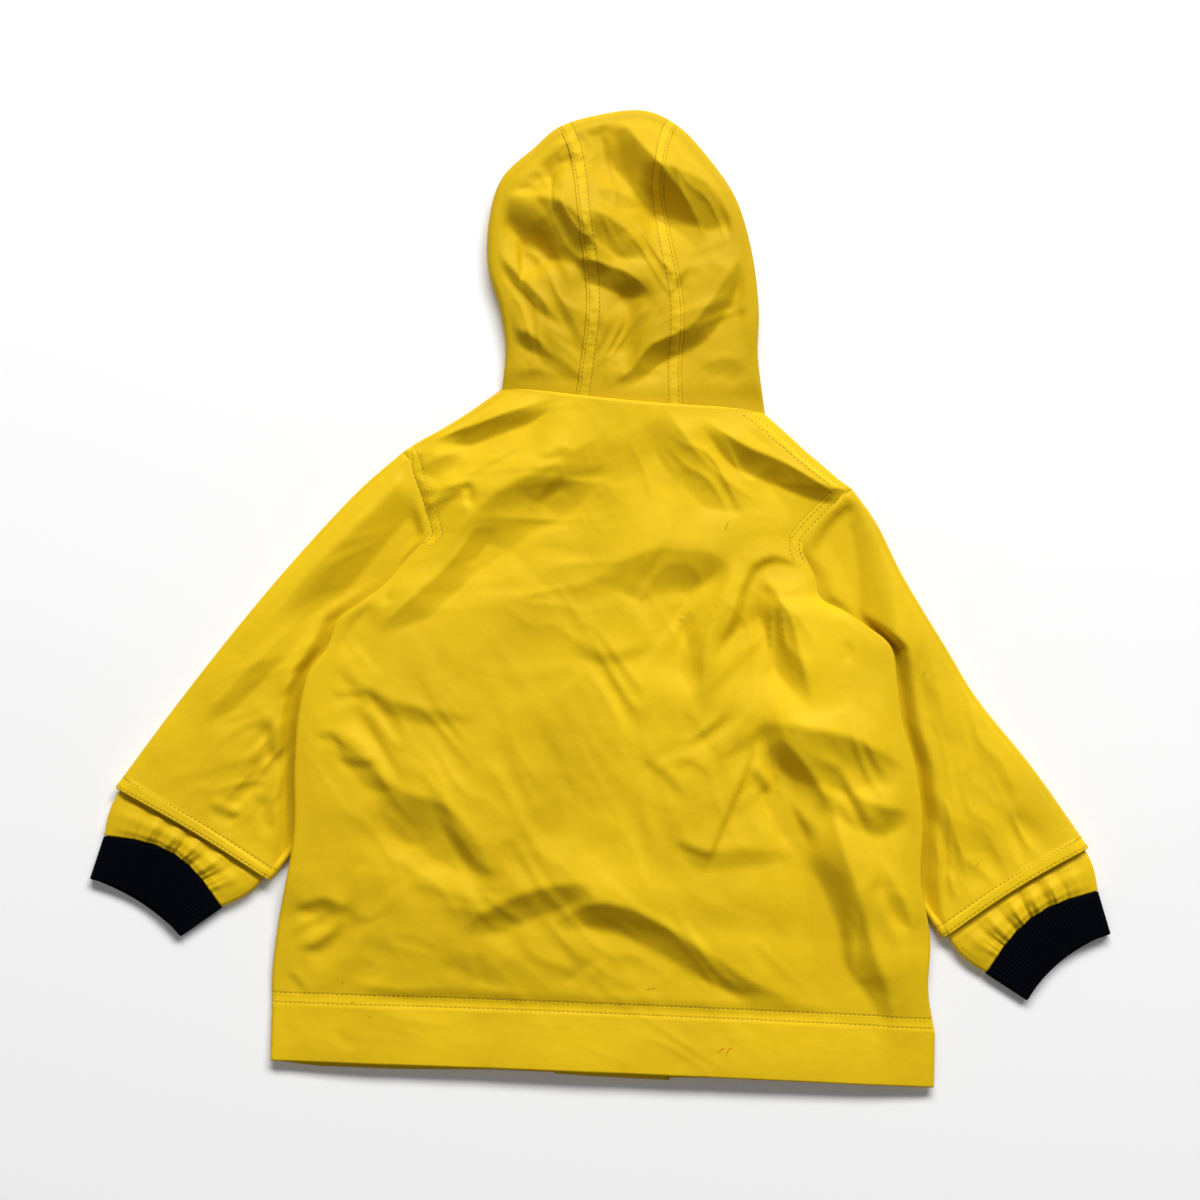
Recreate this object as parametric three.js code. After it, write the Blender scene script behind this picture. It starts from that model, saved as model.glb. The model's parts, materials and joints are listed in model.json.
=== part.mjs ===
// A child's raincoat lying on its front, in millimetres, +Z up, the coat's length along Y.
// The origin is under the middle of the coat, on the surface it lies on.
import * as THREE from 'three';

// Driving dimensions
const COAT_LENGTH = 639;
const COAT_SPAN = 674;
const CLOTH = 1.2;
const HEM_CLOTH = 1.7;
const RIB_CLOTH = 2.4;
const SEAM_GAP = 0.5;
const SLEEVE_HEM = 9;
const RIB_END_HEIGHT = 6.6;
const SNAP_DIAMETER = 12;
const SNAP_COUNT = 5;
const PLACKET = { left: -24, right: 40, top: 99, bottom: -317 };

// The tables below were laid out on a coat of this length and span
const DRAWN_LENGTH = 639;
const DRAWN_SPAN = 674;
const WIDER = COAT_SPAN / DRAWN_SPAN;
const LONGER = COAT_LENGTH / DRAWN_LENGTH;

// Edges of the back as [x, y]. Between the shoulder and the side fold runs the sleeve's armhole.
const BACK_LEFT = {
  shoulder: [[-83, 131], [-105, 114], [-121, 103], [-134, 95], [-145, 87]],
  fold: [[-124, 33], [-136, 20], [-152, 0], [-167, -13], [-182, -26], [-188, -44], [-199, -61],
    [-204, -86], [-205, -123], [-203, -163], [-205, -189], [-210, -222], [-213, -260], [-212, -282]],
  hem: [[-212, -282], [-211, -317]],
};
const BACK_RIGHT = {
  shoulder: [[91, 125], [111, 109], [130, 93], [152, 78]],
  fold: [[120, 37], [130, 19], [134, 6], [150, -2], [165, -11], [182, -24], [188, -49], [193, -75],
    [202, -101], [209, -137], [210, -177], [218, -214], [219, -249], [225, -277]],
  hem: [[225, -277], [226, -312]],
};
const BACK_STEPS = { shoulder: 4, armhole: 5, fold: 21, hem: 3 };

// Height of the back, from the neck (down 0) to the hem (down 1): its left edge, crown and right edge,
// how far each edge curls under in degrees, the curl's radius, and the bow of the cross line
const BACK_ROWS = [
  { down: 0.00, left: 9.0, crown: 16.5, right: 9.0, curl: 90, radius: 6.6, bow: -2.3 },
  { down: 0.10, left: 6.0, crown: 15, right: 6.0, curl: 80, radius: 4.2, bow: 0 },
  { down: 0.13, left: 6.2, crown: 14, right: 6.2, curl: 4, radius: 2.6, bow: 0 },
  { down: 0.26, left: 7.4, crown: 15, right: 7.4, curl: 4, radius: 2.6, bow: 0 },
  { down: 0.33, left: 11.5, crown: 16, right: 11.5, curl: 150, radius: 2.6, bow: 0 },
  { down: 0.50, left: 12.0, crown: 17, right: 12.0, curl: 155, radius: 2.6, bow: 0 },
  { down: 0.72, left: 11.5, crown: 16, right: 11.5, curl: 150, radius: 2.6, bow: 0 },
  { down: 0.80, left: 7.6, crown: 14, right: 9.6, curl: 92, radius: 3.2, bow: 2 },
  { down: 0.91, left: 5.4, crown: 8, right: 5.4, curl: 88, radius: 3.2, bow: 4.5 },
  { down: 1.00, left: 5.2, crown: 6, right: 5.2, curl: 88, radius: 3.1, bow: 1.5 },
];

// Large folds of the back: three points of the line, height (a trough is below 0), width on each side
const BACK_FOLDS = [
  { line: [[-121, 102], [-82, 105], [-47, 125]], height: -3.0, left: 9, right: 9 },
  { line: [[-50, 61], [-111, 23], [-170, -25]], height: 3.4, left: 14, right: 12 },
  { line: [[11, 103], [-53, 50], [-116, 4]], height: -4.6, left: 15, right: 15 },
  { line: [[-110, 8], [-142, -16], [-170, -38]], height: -3.6, left: 13, right: 13 },
  { line: [[-176, -48], [-156, -61], [-125, -76]], height: 3.2, left: 11, right: 11 },
  { line: [[-172, -65], [-138, -86], [-85, -83]], height: -3.2, left: 11, right: 11 },
  { line: [[-156, -120], [-100, -145], [0, -204]], height: 3.4, left: 24, right: 12 },
  { line: [[-150, -152], [-93, -182], [-53, -191]], height: -3.2, left: 22, right: 22 },
  { line: [[-38, -226], [34, -219], [130, -262]], height: -3.4, left: 13, right: 15 },
  { line: [[-90, -226], [-46, -212], [-7, -192]], height: -2.4, left: 12, right: 12 },
  { line: [[-198, -198], [-190, -211], [-176, -222]], height: -2.0, left: 10, right: 10 },
  { line: [[58, -40], [85, 18], [129, 22]], height: -3.0, left: 9, right: 9 },
  { line: [[91, 18], [99, -11], [129, -66]], height: -3.6, left: 10, right: 10 },
  { line: [[31, 32], [43, -14], [61, -69]], height: -3.2, left: 16, right: 12 },
  { line: [[96, -45], [92, -95], [71, -157]], height: -3.6, left: 9, right: 9 },
  { line: [[91, -104], [115, -129], [150, -150]], height: -3.6, left: 10, right: 10 },
  { line: [[102, -117], [138, -181], [194, -262]], height: -4.4, left: 15, right: 15 },
  { line: [[105, -93], [140, -141], [160, -185]], height: 3.2, left: 11, right: 13 },
  { line: [[142, -80], [165, -108], [182, -149]], height: -4.6, left: 13, right: 17 },
  { line: [[37, 111], [83, 79], [114, 40]], height: 3.4, left: 10, right: 13 },
  { line: [[60, 111], [97, 92], [132, 64]], height: -3.2, left: 8, right: 12 },
];

// Outer and inner edge of each sleeve as [x, y] at the armhole and at its end, and the bow of its two ends
const SLEEVES = {
  left: {
    outer: [[-145, 87], [-171, 62], [-213, 12], [-250, -37], [-285, -87], [-322, -143]],
    inner: [[-122, -72], [-217, -199]],
    bow: [15, 2], armholeShown: 0.345, side: -1,
  },
  right: {
    outer: [[152, 78], [168, 58], [188, 23], [219, -23], [240, -54], [280, -99], [319, -149]],
    inner: [[118, -70], [226, -214]],
    bow: [30, 3], armholeShown: 0.275, side: 1,
  },
};
const SLEEVE_STEPS = 15;
// Height of a sleeve along its length: its outer edge, its inner edge, and the rise of its top between them
const SLEEVE_ROWS = [
  { along: 0.00, outer: 5.2, inner: 5.2, rise: 2.2 },
  { along: 0.30, outer: 5.4, inner: 5.2, rise: 4.6 },
  { along: 0.70, outer: 6.2, inner: 5.2, rise: 5.0 },
  { along: 0.90, outer: 8.6, inner: 5.6, rise: 3.6 },
  { along: 1.00, outer: 10.0, inner: 9.0, rise: 2.6 },
];
const SLEEVE_FOLDS = [
  { line: [[-136, 69], [-162, 48], [-184, 27]], height: -1.6, left: 8, right: 8 },
  { line: [[-176, 18], [-214, -14], [-249, -42]], height: -1.5, left: 9, right: 9 },
  { line: [[-240, -70], [-262, -92], [-285, -118]], height: -1.3, left: 9, right: 9 },
  { line: [[159, 62], [170, 26], [181, -20]], height: -1.6, left: 8, right: 8 },
  { line: [[205, -30], [215, -70], [222, -120]], height: -1.4, left: 9, right: 9 },
  { line: [[240, -75], [254, -108], [262, -150]], height: -1.3, left: 9, right: 9 },
];

// Each cuff: outer and inner edge as [x, y] inside the sleeve, at the rib's seam and at the rib's end,
// how far the middle of the seam, of the rib's end and of its lower layer bows back towards the sleeve,
// and how far the cuff's outer and inner edges bulge between the sleeve and the rib
const CUFFS = {
  left: {
    start: [[-315, -139], [-218, -190]],
    seam: [[-328, -175], [-248, -218]],
    end: [[-336, -204], [-274, -239]],
    seamBow: 14,
    endBow: 7,
    underBow: 4,
    bulge: [3, 5],
  },
  right: {
    start: [[312, -145], [226, -204]],
    seam: [[327, -177], [256, -235]],
    end: [[337, -205], [284, -252]],
    seamBow: 12,
    endBow: 8,
    underBow: 5.5,
    bulge: [3, 5],
  },
};
const GATHERS = 16;
const GATHER_HEIGHT = 1.3;

// Hood, as [x, y]: its outline and the edge of the face opening on the underside, each from the left of
// the neck round the top to the right, and the two gusset seams up to the roll at the top
const HOOD_OUTLINE = {
  left: [[-79, 136], [-81, 158], [-86, 184], [-95, 210], [-96, 243], [-89, 270], [-69, 291], [-54, 305]],
  top: [[-27, 315], [3, 319]],
  right: [[25, 310], [47, 289], [65, 265], [77, 232], [84, 193], [85, 163], [89, 131]],
};
const HOOD_FACE = {
  left: [[4, 103], [-24, 130], [-52, 165], [-63, 200], [-64, 232], [-56, 258], [-44, 274], [-32, 285]],
  top: [[-10, 290]],
  right: [[12, 286], [26, 274], [38, 256], [50, 230], [56, 200], [52, 165], [32, 130], [6, 103]],
};
const HOOD_SEAM = {
  left: [[-34, 119], [-31, 151], [-29, 190], [-37, 243], [-45, 286]],
  right: [[38, 116], [35, 148], [34, 191], [23, 239], [17, 265], [18, 289]],
};
const NECK_FRONT = [[-77, 134], [4, 103], [6, 103], [87, 129]];
const HOOD_ROWS = [
  { along: 0.00, radius: 2.4, crown: 7.5 },
  { along: 0.05, radius: 2.6, crown: 8.5 },
  { along: 0.14, radius: 4.2, crown: 17 },
  { along: 0.35, radius: 6.5, crown: 27 },
  { along: 0.65, radius: 7.0, crown: 30 },
  { along: 1.00, radius: 7.0, crown: 24 },
];
const HOOD_FOLDS = [
  { line: [[-68, 272], [-52, 228], [-57, 192]], height: -4.2, left: 22, right: 22 },
  { line: [[-83, 244], [-41, 210], [4, 199]], height: -3.6, left: 10, right: 13 },
  { line: [[-27, 305], [-5, 284], [25, 276]], height: -2.6, left: 9, right: 9 },
  { line: [[19, 269], [36, 253], [47, 235]], height: -2.6, left: 9, right: 9 },
  { line: [[74, 224], [40, 176], [-18, 137]], height: -3.6, left: 12, right: 12 },
  { line: [[-30, 225], [0, 232], [14, 228]], height: 2.6, left: 16, right: 12 },
];

const YELLOW = new THREE.MeshStandardMaterial({ color: '#e3bb22', roughness: 0.5, metalness: 0 });
const NAVY = new THREE.MeshStandardMaterial({ color: '#070b1c', roughness: 0.9, metalness: 0 });
const SNAP = new THREE.MeshStandardMaterial({ color: '#dcb624', roughness: 0.35, metalness: 0 });

const mix = (a, b, t) => a + (b - a) * t;
const clamp01 = (t) => Math.min(1, Math.max(0, t));
const smooth = (t) => clamp01(t) ** 2 * (3 - 2 * clamp01(t));
const radians = THREE.MathUtils.degToRad;

// A smooth plan curve through [x, y] points, scaled to the coat's own length and span
function planCurve(points) {
  const vectors = points.map(([x, y]) => new THREE.Vector3(x * WIDER, y * LONGER, 0));
  return new THREE.CatmullRomCurve3(vectors, false, 'centripetal');
}

// One column of a table of rows, read between two rows
function column(rows, key, at, name) {
  const next = rows.findIndex((row) => row[key] >= at);
  if (next <= 0) return rows[next < 0 ? rows.length - 1 : 0][name];
  const [a, b] = [rows[next - 1], rows[next]];
  return mix(a[name], b[name], smooth((at - a[key]) / (b[key] - a[key])));
}

// Folds with their line drawn once as a list of points
function drawFolds(folds) {
  return folds.map((fold) => ({ ...fold, points: planCurve(fold.line).getPoints(14) }));
}

// The height that all folds of a list add at a place: each is a soft ridge or trough beside its line
function foldHeight(folds, x, y) {
  let total = 0;
  for (const { points, height, left, right } of folds) {
    let nearest = Infinity;
    let along = 0;
    let side = 1;
    for (let i = 1; i < points.length; i += 1) {
      const [a, b] = [points[i - 1], points[i]];
      const [dx, dy] = [b.x - a.x, b.y - a.y];
      const t = clamp01(((x - a.x) * dx + (y - a.y) * dy) / (dx * dx + dy * dy));
      const distance = Math.hypot(x - a.x - dx * t, y - a.y - dy * t);
      if (distance < nearest) {
        nearest = distance;
        along = (i - 1 + t) / (points.length - 1);
        side = dx * (y - a.y) - dy * (x - a.x);
      }
    }
    const width = side > 0 ? left : right;
    const fade = smooth(Math.min(along, 1 - along) / 0.25);
    total += height * mix(0.3, 1, fade) * Math.exp(-((nearest / width) ** 2));
  }
  return total;
}

// A closed mesh from triangles given as corner indices
function meshOf(name, points, triangles, material) {
  const geometry = new THREE.BufferGeometry();
  const numbers = points.flatMap(({ x, y, z }) => [x, y, z]);
  geometry.setAttribute('position', new THREE.Float32BufferAttribute(numbers, 3));
  geometry.setIndex(triangles);
  geometry.computeVertexNormals();
  const mesh = new THREE.Mesh(geometry, material);
  mesh.name = name;
  return mesh;
}

// The inner face of a wall: each point of the outer grid moved in along its normal
function innerGrid(outer, closed, thickness) {
  const [rows, columns] = [outer.length, outer[0].length];
  return outer.map((row, r) => row.map((point, c) => {
    const before = closed ? row[(c + columns - 1) % columns] : row[Math.max(0, c - 1)];
    const after = closed ? row[(c + 1) % columns] : row[Math.min(columns - 1, c + 1)];
    const across = after.clone().sub(before);
    const along = outer[Math.min(rows - 1, r + 1)][c].clone().sub(outer[Math.max(0, r - 1)][c]);
    const normal = across.cross(along).normalize();
    return point.clone().addScaledVector(normal, -thickness(r, c));
  }));
}

// A wall between an outer grid of points and its inner face. Rows run along, columns run across;
// seen from outside, columns turn into rows anticlockwise. A closed grid is a tube, open at both ends.
function wallMesh(name, outer, closed, thickness, material) {
  const inner = innerGrid(outer, closed, thickness);
  const [rows, columns] = [outer.length, outer[0].length];
  const points = [...outer.flat(), ...inner.flat()];
  const triangles = [];
  const outerAt = (r, c) => r * columns + (c % columns);
  const innerAt = (r, c) => rows * columns + outerAt(r, c);
  const quad = (a, b, c, d) => triangles.push(a, b, c, a, c, d);
  const spans = closed ? columns : columns - 1;
  for (let r = 0; r < rows - 1; r += 1) {
    for (let c = 0; c < spans; c += 1) {
      quad(outerAt(r, c), outerAt(r, c + 1), outerAt(r + 1, c + 1), outerAt(r + 1, c));
      quad(innerAt(r, c), innerAt(r + 1, c), innerAt(r + 1, c + 1), innerAt(r, c + 1));
    }
  }
  for (let c = 0; c < spans; c += 1) {
    quad(outerAt(0, c), innerAt(0, c), innerAt(0, c + 1), outerAt(0, c + 1));
    quad(outerAt(rows - 1, c), outerAt(rows - 1, c + 1), innerAt(rows - 1, c + 1), innerAt(rows - 1, c));
  }
  if (!closed) {
    const last = columns - 1;
    for (let r = 0; r < rows - 1; r += 1) {
      quad(outerAt(r, 0), outerAt(r + 1, 0), innerAt(r + 1, 0), innerAt(r, 0));
      quad(outerAt(r, last), innerAt(r, last), innerAt(r + 1, last), outerAt(r + 1, last));
    }
  }
  return meshOf(name, points, triangles, material);
}

// Where a side's fold edge lies at a height y: the body covers the sleeve inside it
function foldEdgeX(sleeve, y) {
  const { fold } = sleeve.side < 0 ? BACK_LEFT : BACK_RIGHT;
  const armhole = [0, 0.1, 0.2].map((share) => armholePoint(sleeve, share));
  const points = [...armhole, ...fold.map(([x, v]) => new THREE.Vector3(x * WIDER, v * LONGER, 0))];
  const next = points.findIndex((point) => point.y <= y);
  if (next <= 0) return points.at(next).x;
  const [a, b] = [points[next - 1], points[next]];
  return mix(a.x, b.x, (y - a.y) / (b.y - a.y));
}

// A place on the armhole, from the shoulder (0) to the hidden underarm (1)
function armholePoint(sleeve, share) {
  const { a, b, backwards } = sleeveFrame(sleeve, 0);
  return a.lerp(b, share).addScaledVector(backwards, sleeve.bow[0] * Math.sin(Math.PI * share));
}

// Back panel
const BACK_COLUMNS = 32;
const CURL_STEPS = 3;
const NECK_CURL = { radius: 2.6, degrees: 150, spread: 0.15 };
const TIP_GAP = 1.2;
const BACK_FLOOR = 7.6;
const BACK_FLOOR_LOW = 4.8;

// A place on one side's edge of the back, at a share of one of its parts
function backEdge(edges, sleeve, part, share) {
  if (part === 'armhole') return armholePoint(sleeve, share * sleeve.armholeShown);
  return planCurve(edges[part]).getPointAt(share);
}

function backStations() {
  const stations = [];
  for (const [part, steps] of Object.entries(BACK_STEPS)) {
    for (let i = part === 'shoulder' ? 0 : 1; i <= steps; i += 1) {
      const left = backEdge(BACK_LEFT, SLEEVES.left, part, i / steps);
      const right = backEdge(BACK_RIGHT, SLEEVES.right, part, i / steps);
      const tip = part === 'shoulder' && i === steps;
      const gap = part === 'armhole' ? SEAM_GAP : 0;
      stations.push({ left, right, gap: tip ? TIP_GAP : gap });
    }
  }
  const top = stations[0].left.y;
  const bottom = stations.at(-1).left.y;
  return stations.map((station) => ({ ...station, down: (top - station.left.y) / (top - bottom) }));
}

function backHeight(folds, station, across, x, y) {
  const read = (name) => column(BACK_ROWS, 'down', station.down, name);
  const edge = mix(read('left'), read('right'), across);
  const dome = 1 - Math.abs(2 * across - 1) ** 3;
  const free = smooth(Math.min(across, 1 - across) / 0.05);
  const fold = foldHeight(folds, x, y) * free * hemCalm(station.down);
  const folded = edge + (read('crown') - edge) * dome + fold;
  const lowest = Math.min(edge, station.down < 0.75 ? BACK_FLOOR : BACK_FLOOR_LOW);
  return Math.max(folded, lowest);
}

// The hem and the neck lie calmer than the rest
function hemCalm(down) {
  return mix(0.25, 1, smooth((1 - down) / 0.14)) * mix(0.5, 1, smooth(down / 0.04));
}

function backGrid() {
  const folds = drawFolds(BACK_FOLDS);
  const rows = backStations().map((station) => {
    const read = (name) => column(BACK_ROWS, 'down', station.down, name);
    const curl = radians(read('curl'));
    const radius = read('radius');
    const reach = radius * Math.sin(Math.min(curl, Math.PI / 2));
    const from = station.left.clone();
    const to = station.right.clone();
    from.x += reach + station.gap;
    to.x -= reach + station.gap;
    const row = [];
    for (let c = 0; c <= BACK_COLUMNS; c += 1) {
      const across = c / BACK_COLUMNS;
      const point = from.clone().lerp(to, across);
      point.y += read('bow') * Math.sin(Math.PI * across);
      point.z = backHeight(folds, station, across, point.x, point.y);
      row.push(point);
    }
    const curled = (edge, side) => Array.from({ length: CURL_STEPS }, (_, i) => {
      const turn = curl * (i + 1) / CURL_STEPS;
      const shift = new THREE.Vector3(side * radius * Math.sin(turn), 0, radius * (Math.cos(turn) - 1));
      return edge.clone().add(shift);
    });
    return [...curled(row[0], -1).reverse(), ...row, ...curled(row.at(-1), 1)];
  });
  return [...neckCurl(rows[0]), ...rows];
}

// The top of the back rolls over and under, above the hood's lower edge
function neckCurl(edge) {
  return Array.from({ length: CURL_STEPS }, (_, i) => edge.map((point, c) => {
    const middle = Math.sin(Math.PI * clamp01((c - 2) / (edge.length - 5))) ** 0.6;
    const turn = radians(NECK_CURL.degrees) * middle * (CURL_STEPS - i) / CURL_STEPS;
    const forward = NECK_CURL.radius * Math.sin(turn) + NECK_CURL.spread * (CURL_STEPS - i);
    return point.clone().add(new THREE.Vector3(0, forward, NECK_CURL.radius * (Math.cos(turn) - 1)));
  }));
}

function backPanel() {
  const fromHem = backGrid().reverse();
  const thickness = (r) => (r < BACK_STEPS.hem ? HEM_CLOTH : CLOTH);
  return wallMesh('back_panel', fromHem, false, thickness, YELLOW);
}

// Sleeves: flattened tubes that rest on the floor, their inner part under the body
const SLEEVE_ACROSS = { curl: 4, top: 13, under: 6 };
const UNDER_BODY_HEIGHT = 5.2;

// Places round a flattened tube: how far across from 0 to 1, and the height as an angle or a share
function ringPlaces({ curl, top, under }) {
  const places = [];
  for (let i = 0; i <= curl; i += 1) places.push({ kind: 'start', turn: Math.PI * i / curl });
  for (let i = 1; i < top; i += 1) places.push({ kind: 'top', across: i / top });
  for (let i = 0; i <= curl; i += 1) places.push({ kind: 'finish', turn: Math.PI * i / curl });
  for (let i = 1; i < under; i += 1) places.push({ kind: 'under', across: 1 - i / under });
  return places;
}

// One ring of a flattened tube from edge point a to edge point b, with round edges of the given height
function flatRing(places, [a, heightA], [b, heightB], topHeight, bowAt, floorHeight = 0) {
  const width = a.distanceTo(b);
  const [radiusA, radiusB] = [(heightA - floorHeight) / 2, (heightB - floorHeight) / 2];
  return places.map(({ kind, turn, across }) => {
    let share = mix(radiusA / width, 1 - radiusB / width, across ?? 0);
    let height = floorHeight;
    if (kind === 'start') {
      share = radiusA / width * (1 - Math.sin(turn));
      height = floorHeight + radiusA * (1 - Math.cos(turn));
    } else if (kind === 'finish') {
      share = 1 - radiusB / width * (1 - Math.sin(turn));
      height = floorHeight + radiusB * (1 + Math.cos(turn));
    }
    const point = a.clone().lerp(b, share).add(bowAt(share, kind));
    point.z = kind === 'top' ? topHeight(point, across) : height;
    return point;
  });
}

function sleeveFrame(sleeve, along) {
  const outer = planCurve(sleeve.outer);
  const inner = planCurve(sleeve.inner);
  const [a, b] = [outer.getPointAt(along), inner.getPointAt(along)];
  const direction = b.clone().sub(a).normalize();
  const backwards = new THREE.Vector3(-direction.y, direction.x, 0).multiplyScalar(-sleeve.side);
  return { a, b, backwards };
}

function sleeveGrid(sleeve) {
  const folds = drawFolds(SLEEVE_FOLDS);
  const places = ringPlaces(SLEEVE_ACROSS);
  const stations = Array.from({ length: SLEEVE_STEPS + 1 }, (_, i) => i / SLEEVE_STEPS);
  const hemStart = 1 - SLEEVE_HEM / planCurve(sleeve.outer).getLength();
  const rings = stations.filter((along) => along < hemStart - 0.02);
  return [...rings, hemStart, 1].map((along) => {
    const { a, b, backwards } = sleeveFrame(sleeve, along);
    const read = (name) => column(SLEEVE_ROWS, 'along', along, name);
    const bow = mix(sleeve.bow[0], sleeve.bow[1], smooth(along * 1.4));
    const top = (point, across) => {
      const outside = sleeve.side * (point.x - foldEdgeX(sleeve, point.y));
      const free = smooth((outside + 4) / 20);
      const dome = Math.sin(Math.PI * across) ** 0.7;
      const fold = foldHeight(folds, point.x, point.y) * smooth((1 - along) / 0.12);
      const edge = mix(read('outer'), read('inner'), across);
      return mix(UNDER_BODY_HEIGHT, edge + (read('rise') + fold) * dome, free);
    };
    const bowAt = (share) => backwards.clone().multiplyScalar(bow * Math.sin(Math.PI * share));
    return flatRing(places, [a, read('outer')], [b, read('inner')], top, bowAt);
  });
}

function tubeOf(name, grid, side, thickness, material) {
  const outer = side < 0 ? grid.map((ring) => [...ring].reverse()) : grid;
  return wallMesh(name, outer, true, thickness, material);
}

function sleeveMesh(name, sleeve) {
  const grid = sleeveGrid(sleeve);
  const thickness = (r) => (r >= grid.length - 2 ? HEM_CLOTH : CLOTH);
  return tubeOf(`sleeve_${name}`, grid, sleeve.side, thickness, YELLOW);
}

// Inner cuff: a gathered ring that starts inside the sleeve's end and comes down to the floor
const CUFF_ACROSS = { curl: 4, top: 32, under: 6 };
const RIB_ACROSS = { curl: 4, top: 20, under: 6 };
const CUFF_STATIONS = [
  { along: 0, lift: 2.2, edge: 6.4, rise: 0.4, gather: 0 },
  { along: 0.2, lift: 2.2, edge: 6.6, rise: 0.8, gather: 0.1 },
  { along: 0.38, lift: 0.9, edge: 7.2, rise: 2.6, gather: 0.5 },
  { along: 0.6, lift: 0, edge: 7.6, rise: 4.2, gather: 0.9 },
  { along: 0.82, lift: 0, edge: 7.4, rise: 3.6, gather: 1 },
  { along: 1, lift: 0, edge: 7.0, rise: 1.6, gather: 0.8 },
];

function edgePair([[ax, ay], [bx, by]]) {
  return [new THREE.Vector3(ax * WIDER, ay * LONGER, 0), new THREE.Vector3(bx * WIDER, by * LONGER, 0)];
}

function cuffBow(side, a, b, amount, underAmount = 0) {
  const direction = b.clone().sub(a).normalize();
  const backwards = new THREE.Vector3(-direction.y, direction.x, 0).multiplyScalar(-side);
  return (share, kind) => {
    const bow = (kind === 'under' ? underAmount : amount) * Math.sin(Math.PI * share);
    return backwards.clone().multiplyScalar(bow);
  };
}

function cuffGrid(cuff, side) {
  const [startA, startB] = edgePair(cuff.start);
  const [seamA, seamB] = edgePair(cuff.seam);
  const places = ringPlaces(CUFF_ACROSS);
  return CUFF_STATIONS.map(({ along, lift, edge, rise, gather }) => {
    const a = startA.clone().lerp(seamA, along);
    const b = startB.clone().lerp(seamB, along);
    const across = b.clone().sub(a).normalize();
    const [bulgeA, bulgeB] = cuff.bulge.map((size) => size * Math.sin(Math.PI * along));
    a.addScaledVector(across, -bulgeA);
    b.addScaledVector(across, bulgeB);
    const top = (point, share) => {
      const wave = Math.cos(2 * Math.PI * share * GATHERS / 2);
      return edge + Math.sin(Math.PI * share) ** 0.6 * (rise + gather * GATHER_HEIGHT * wave);
    };
    return flatRing(places, [a, edge], [b, edge], top, cuffBow(side, a, b, cuff.seamBow * along), lift);
  });
}

function ribGrid(cuff, side) {
  const [seamA, seamB] = edgePair(cuff.seam);
  const [endA, endB] = edgePair(cuff.end);
  const places = ringPlaces(RIB_ACROSS);
  return [0, 0.35, 0.7, 1].map((along) => {
    const away = endA.clone().sub(seamA).normalize().multiplyScalar(2 * SEAM_GAP * (1 - along));
    const a = seamA.clone().lerp(endA, along).add(away);
    const b = seamB.clone().lerp(endB, along).add(away);
    const edge = mix(7.0, RIB_END_HEIGHT, along);
    const bow = mix(cuff.seamBow, cuff.endBow, along);
    const top = (point, across) => edge + Math.sin(Math.PI * across) ** 0.6 * mix(1.4, 0.4, along);
    const bowAt = cuffBow(side, a, b, bow, cuff.underBow * along);
    return flatRing(places, [a, edge], [b, edge], top, bowAt);
  });
}

// Hood: two sides and a gusset, each from the crown over the outline and in along the floor
const HOOD_SIDE_STEPS = 18;
const HOOD_TOP_COLUMNS = 7;
const HOOD_WRAP_STEPS = 5;
const HOOD_FLOOR_COLUMNS = 3;
const GUSSET_STEPS = 18;
const GUSSET_COLUMNS = 7;
const GUSSET_BULGE_FROM = 0.6;
const hoodFolds = drawFolds(HOOD_FOLDS);

// A curve of the hood in its three stretches, left, top and right, each read by a share from 0 to 1
function stretchedCurve({ left, top, right }) {
  const points = [...left, ...top, ...right];
  const curve = planCurve(points);
  const last = points.length - 1;
  const ends = [0, (left.length - 1) / last, (left.length + top.length) / last, 1];
  const at = (stretch, share) => mix(ends[stretch], ends[stretch + 1], share);
  return {
    point: (stretch, share) => curve.getPoint(at(stretch, share)),
    outward: (stretch, share) => {
      const tangent = curve.getTangent(at(stretch, share));
      return new THREE.Vector3(-tangent.y, tangent.x, 0);
    },
    spaced: curve.getSpacedPoints(160),
  };
}
const hoodRim = stretchedCurve(HOOD_OUTLINE);
const hoodFace = stretchedCurve(HOOD_FACE);
const hoodTopLine = HOOD_OUTLINE.top[1][1] * LONGER;
const hoodNeckLine = HOOD_SEAM.left[0][1] * LONGER;

function hoodRow(y, name) {
  return column(HOOD_ROWS, 'along', clamp01((y - hoodNeckLine) / (hoodTopLine - hoodNeckLine)), name);
}

// The hood's height over the floor, by how far a place lies in from the roll at the outline
function hoodHeight({ x, y }) {
  const radius = hoodRow(y, 'radius');
  const nearest = Math.min(...hoodRim.spaced.map((rim) => Math.hypot(x - rim.x, y - rim.y)));
  const inside = Math.max(0, nearest - radius);
  const dome = 1 - (1 - clamp01(inside / 75)) ** 2;
  const calm = smooth((y / LONGER - 132) / 30) * smooth(inside / 12);
  return 2 * radius + (hoodRow(y, 'crown') - 2 * radius) * dome + foldHeight(hoodFolds, x, y) * calm;
}

// Where the hood starts to roll over its outline, and the points of the roll down to the floor
function rimRoll(stretch, share) {
  const edge = hoodRim.point(stretch, share);
  const outward = hoodRim.outward(stretch, share);
  const radius = hoodRow(edge.y, 'radius');
  const start = edge.addScaledVector(outward, -radius);
  const points = Array.from({ length: HOOD_WRAP_STEPS + 1 }, (_, i) => {
    const turn = Math.PI * i / HOOD_WRAP_STEPS;
    const point = start.clone().addScaledVector(outward, radius * Math.sin(turn));
    return point.setZ(radius * (1 + Math.cos(turn)));
  });
  return { start, points };
}

function floorPoints(stretch, share, start) {
  const face = hoodFace.point(stretch, share);
  const steps = Array.from({ length: HOOD_FLOOR_COLUMNS }, (_, i) => (i + 1) / HOOD_FLOOR_COLUMNS);
  return steps.map((step) => start.clone().lerp(face, step).setZ(0));
}

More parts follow.
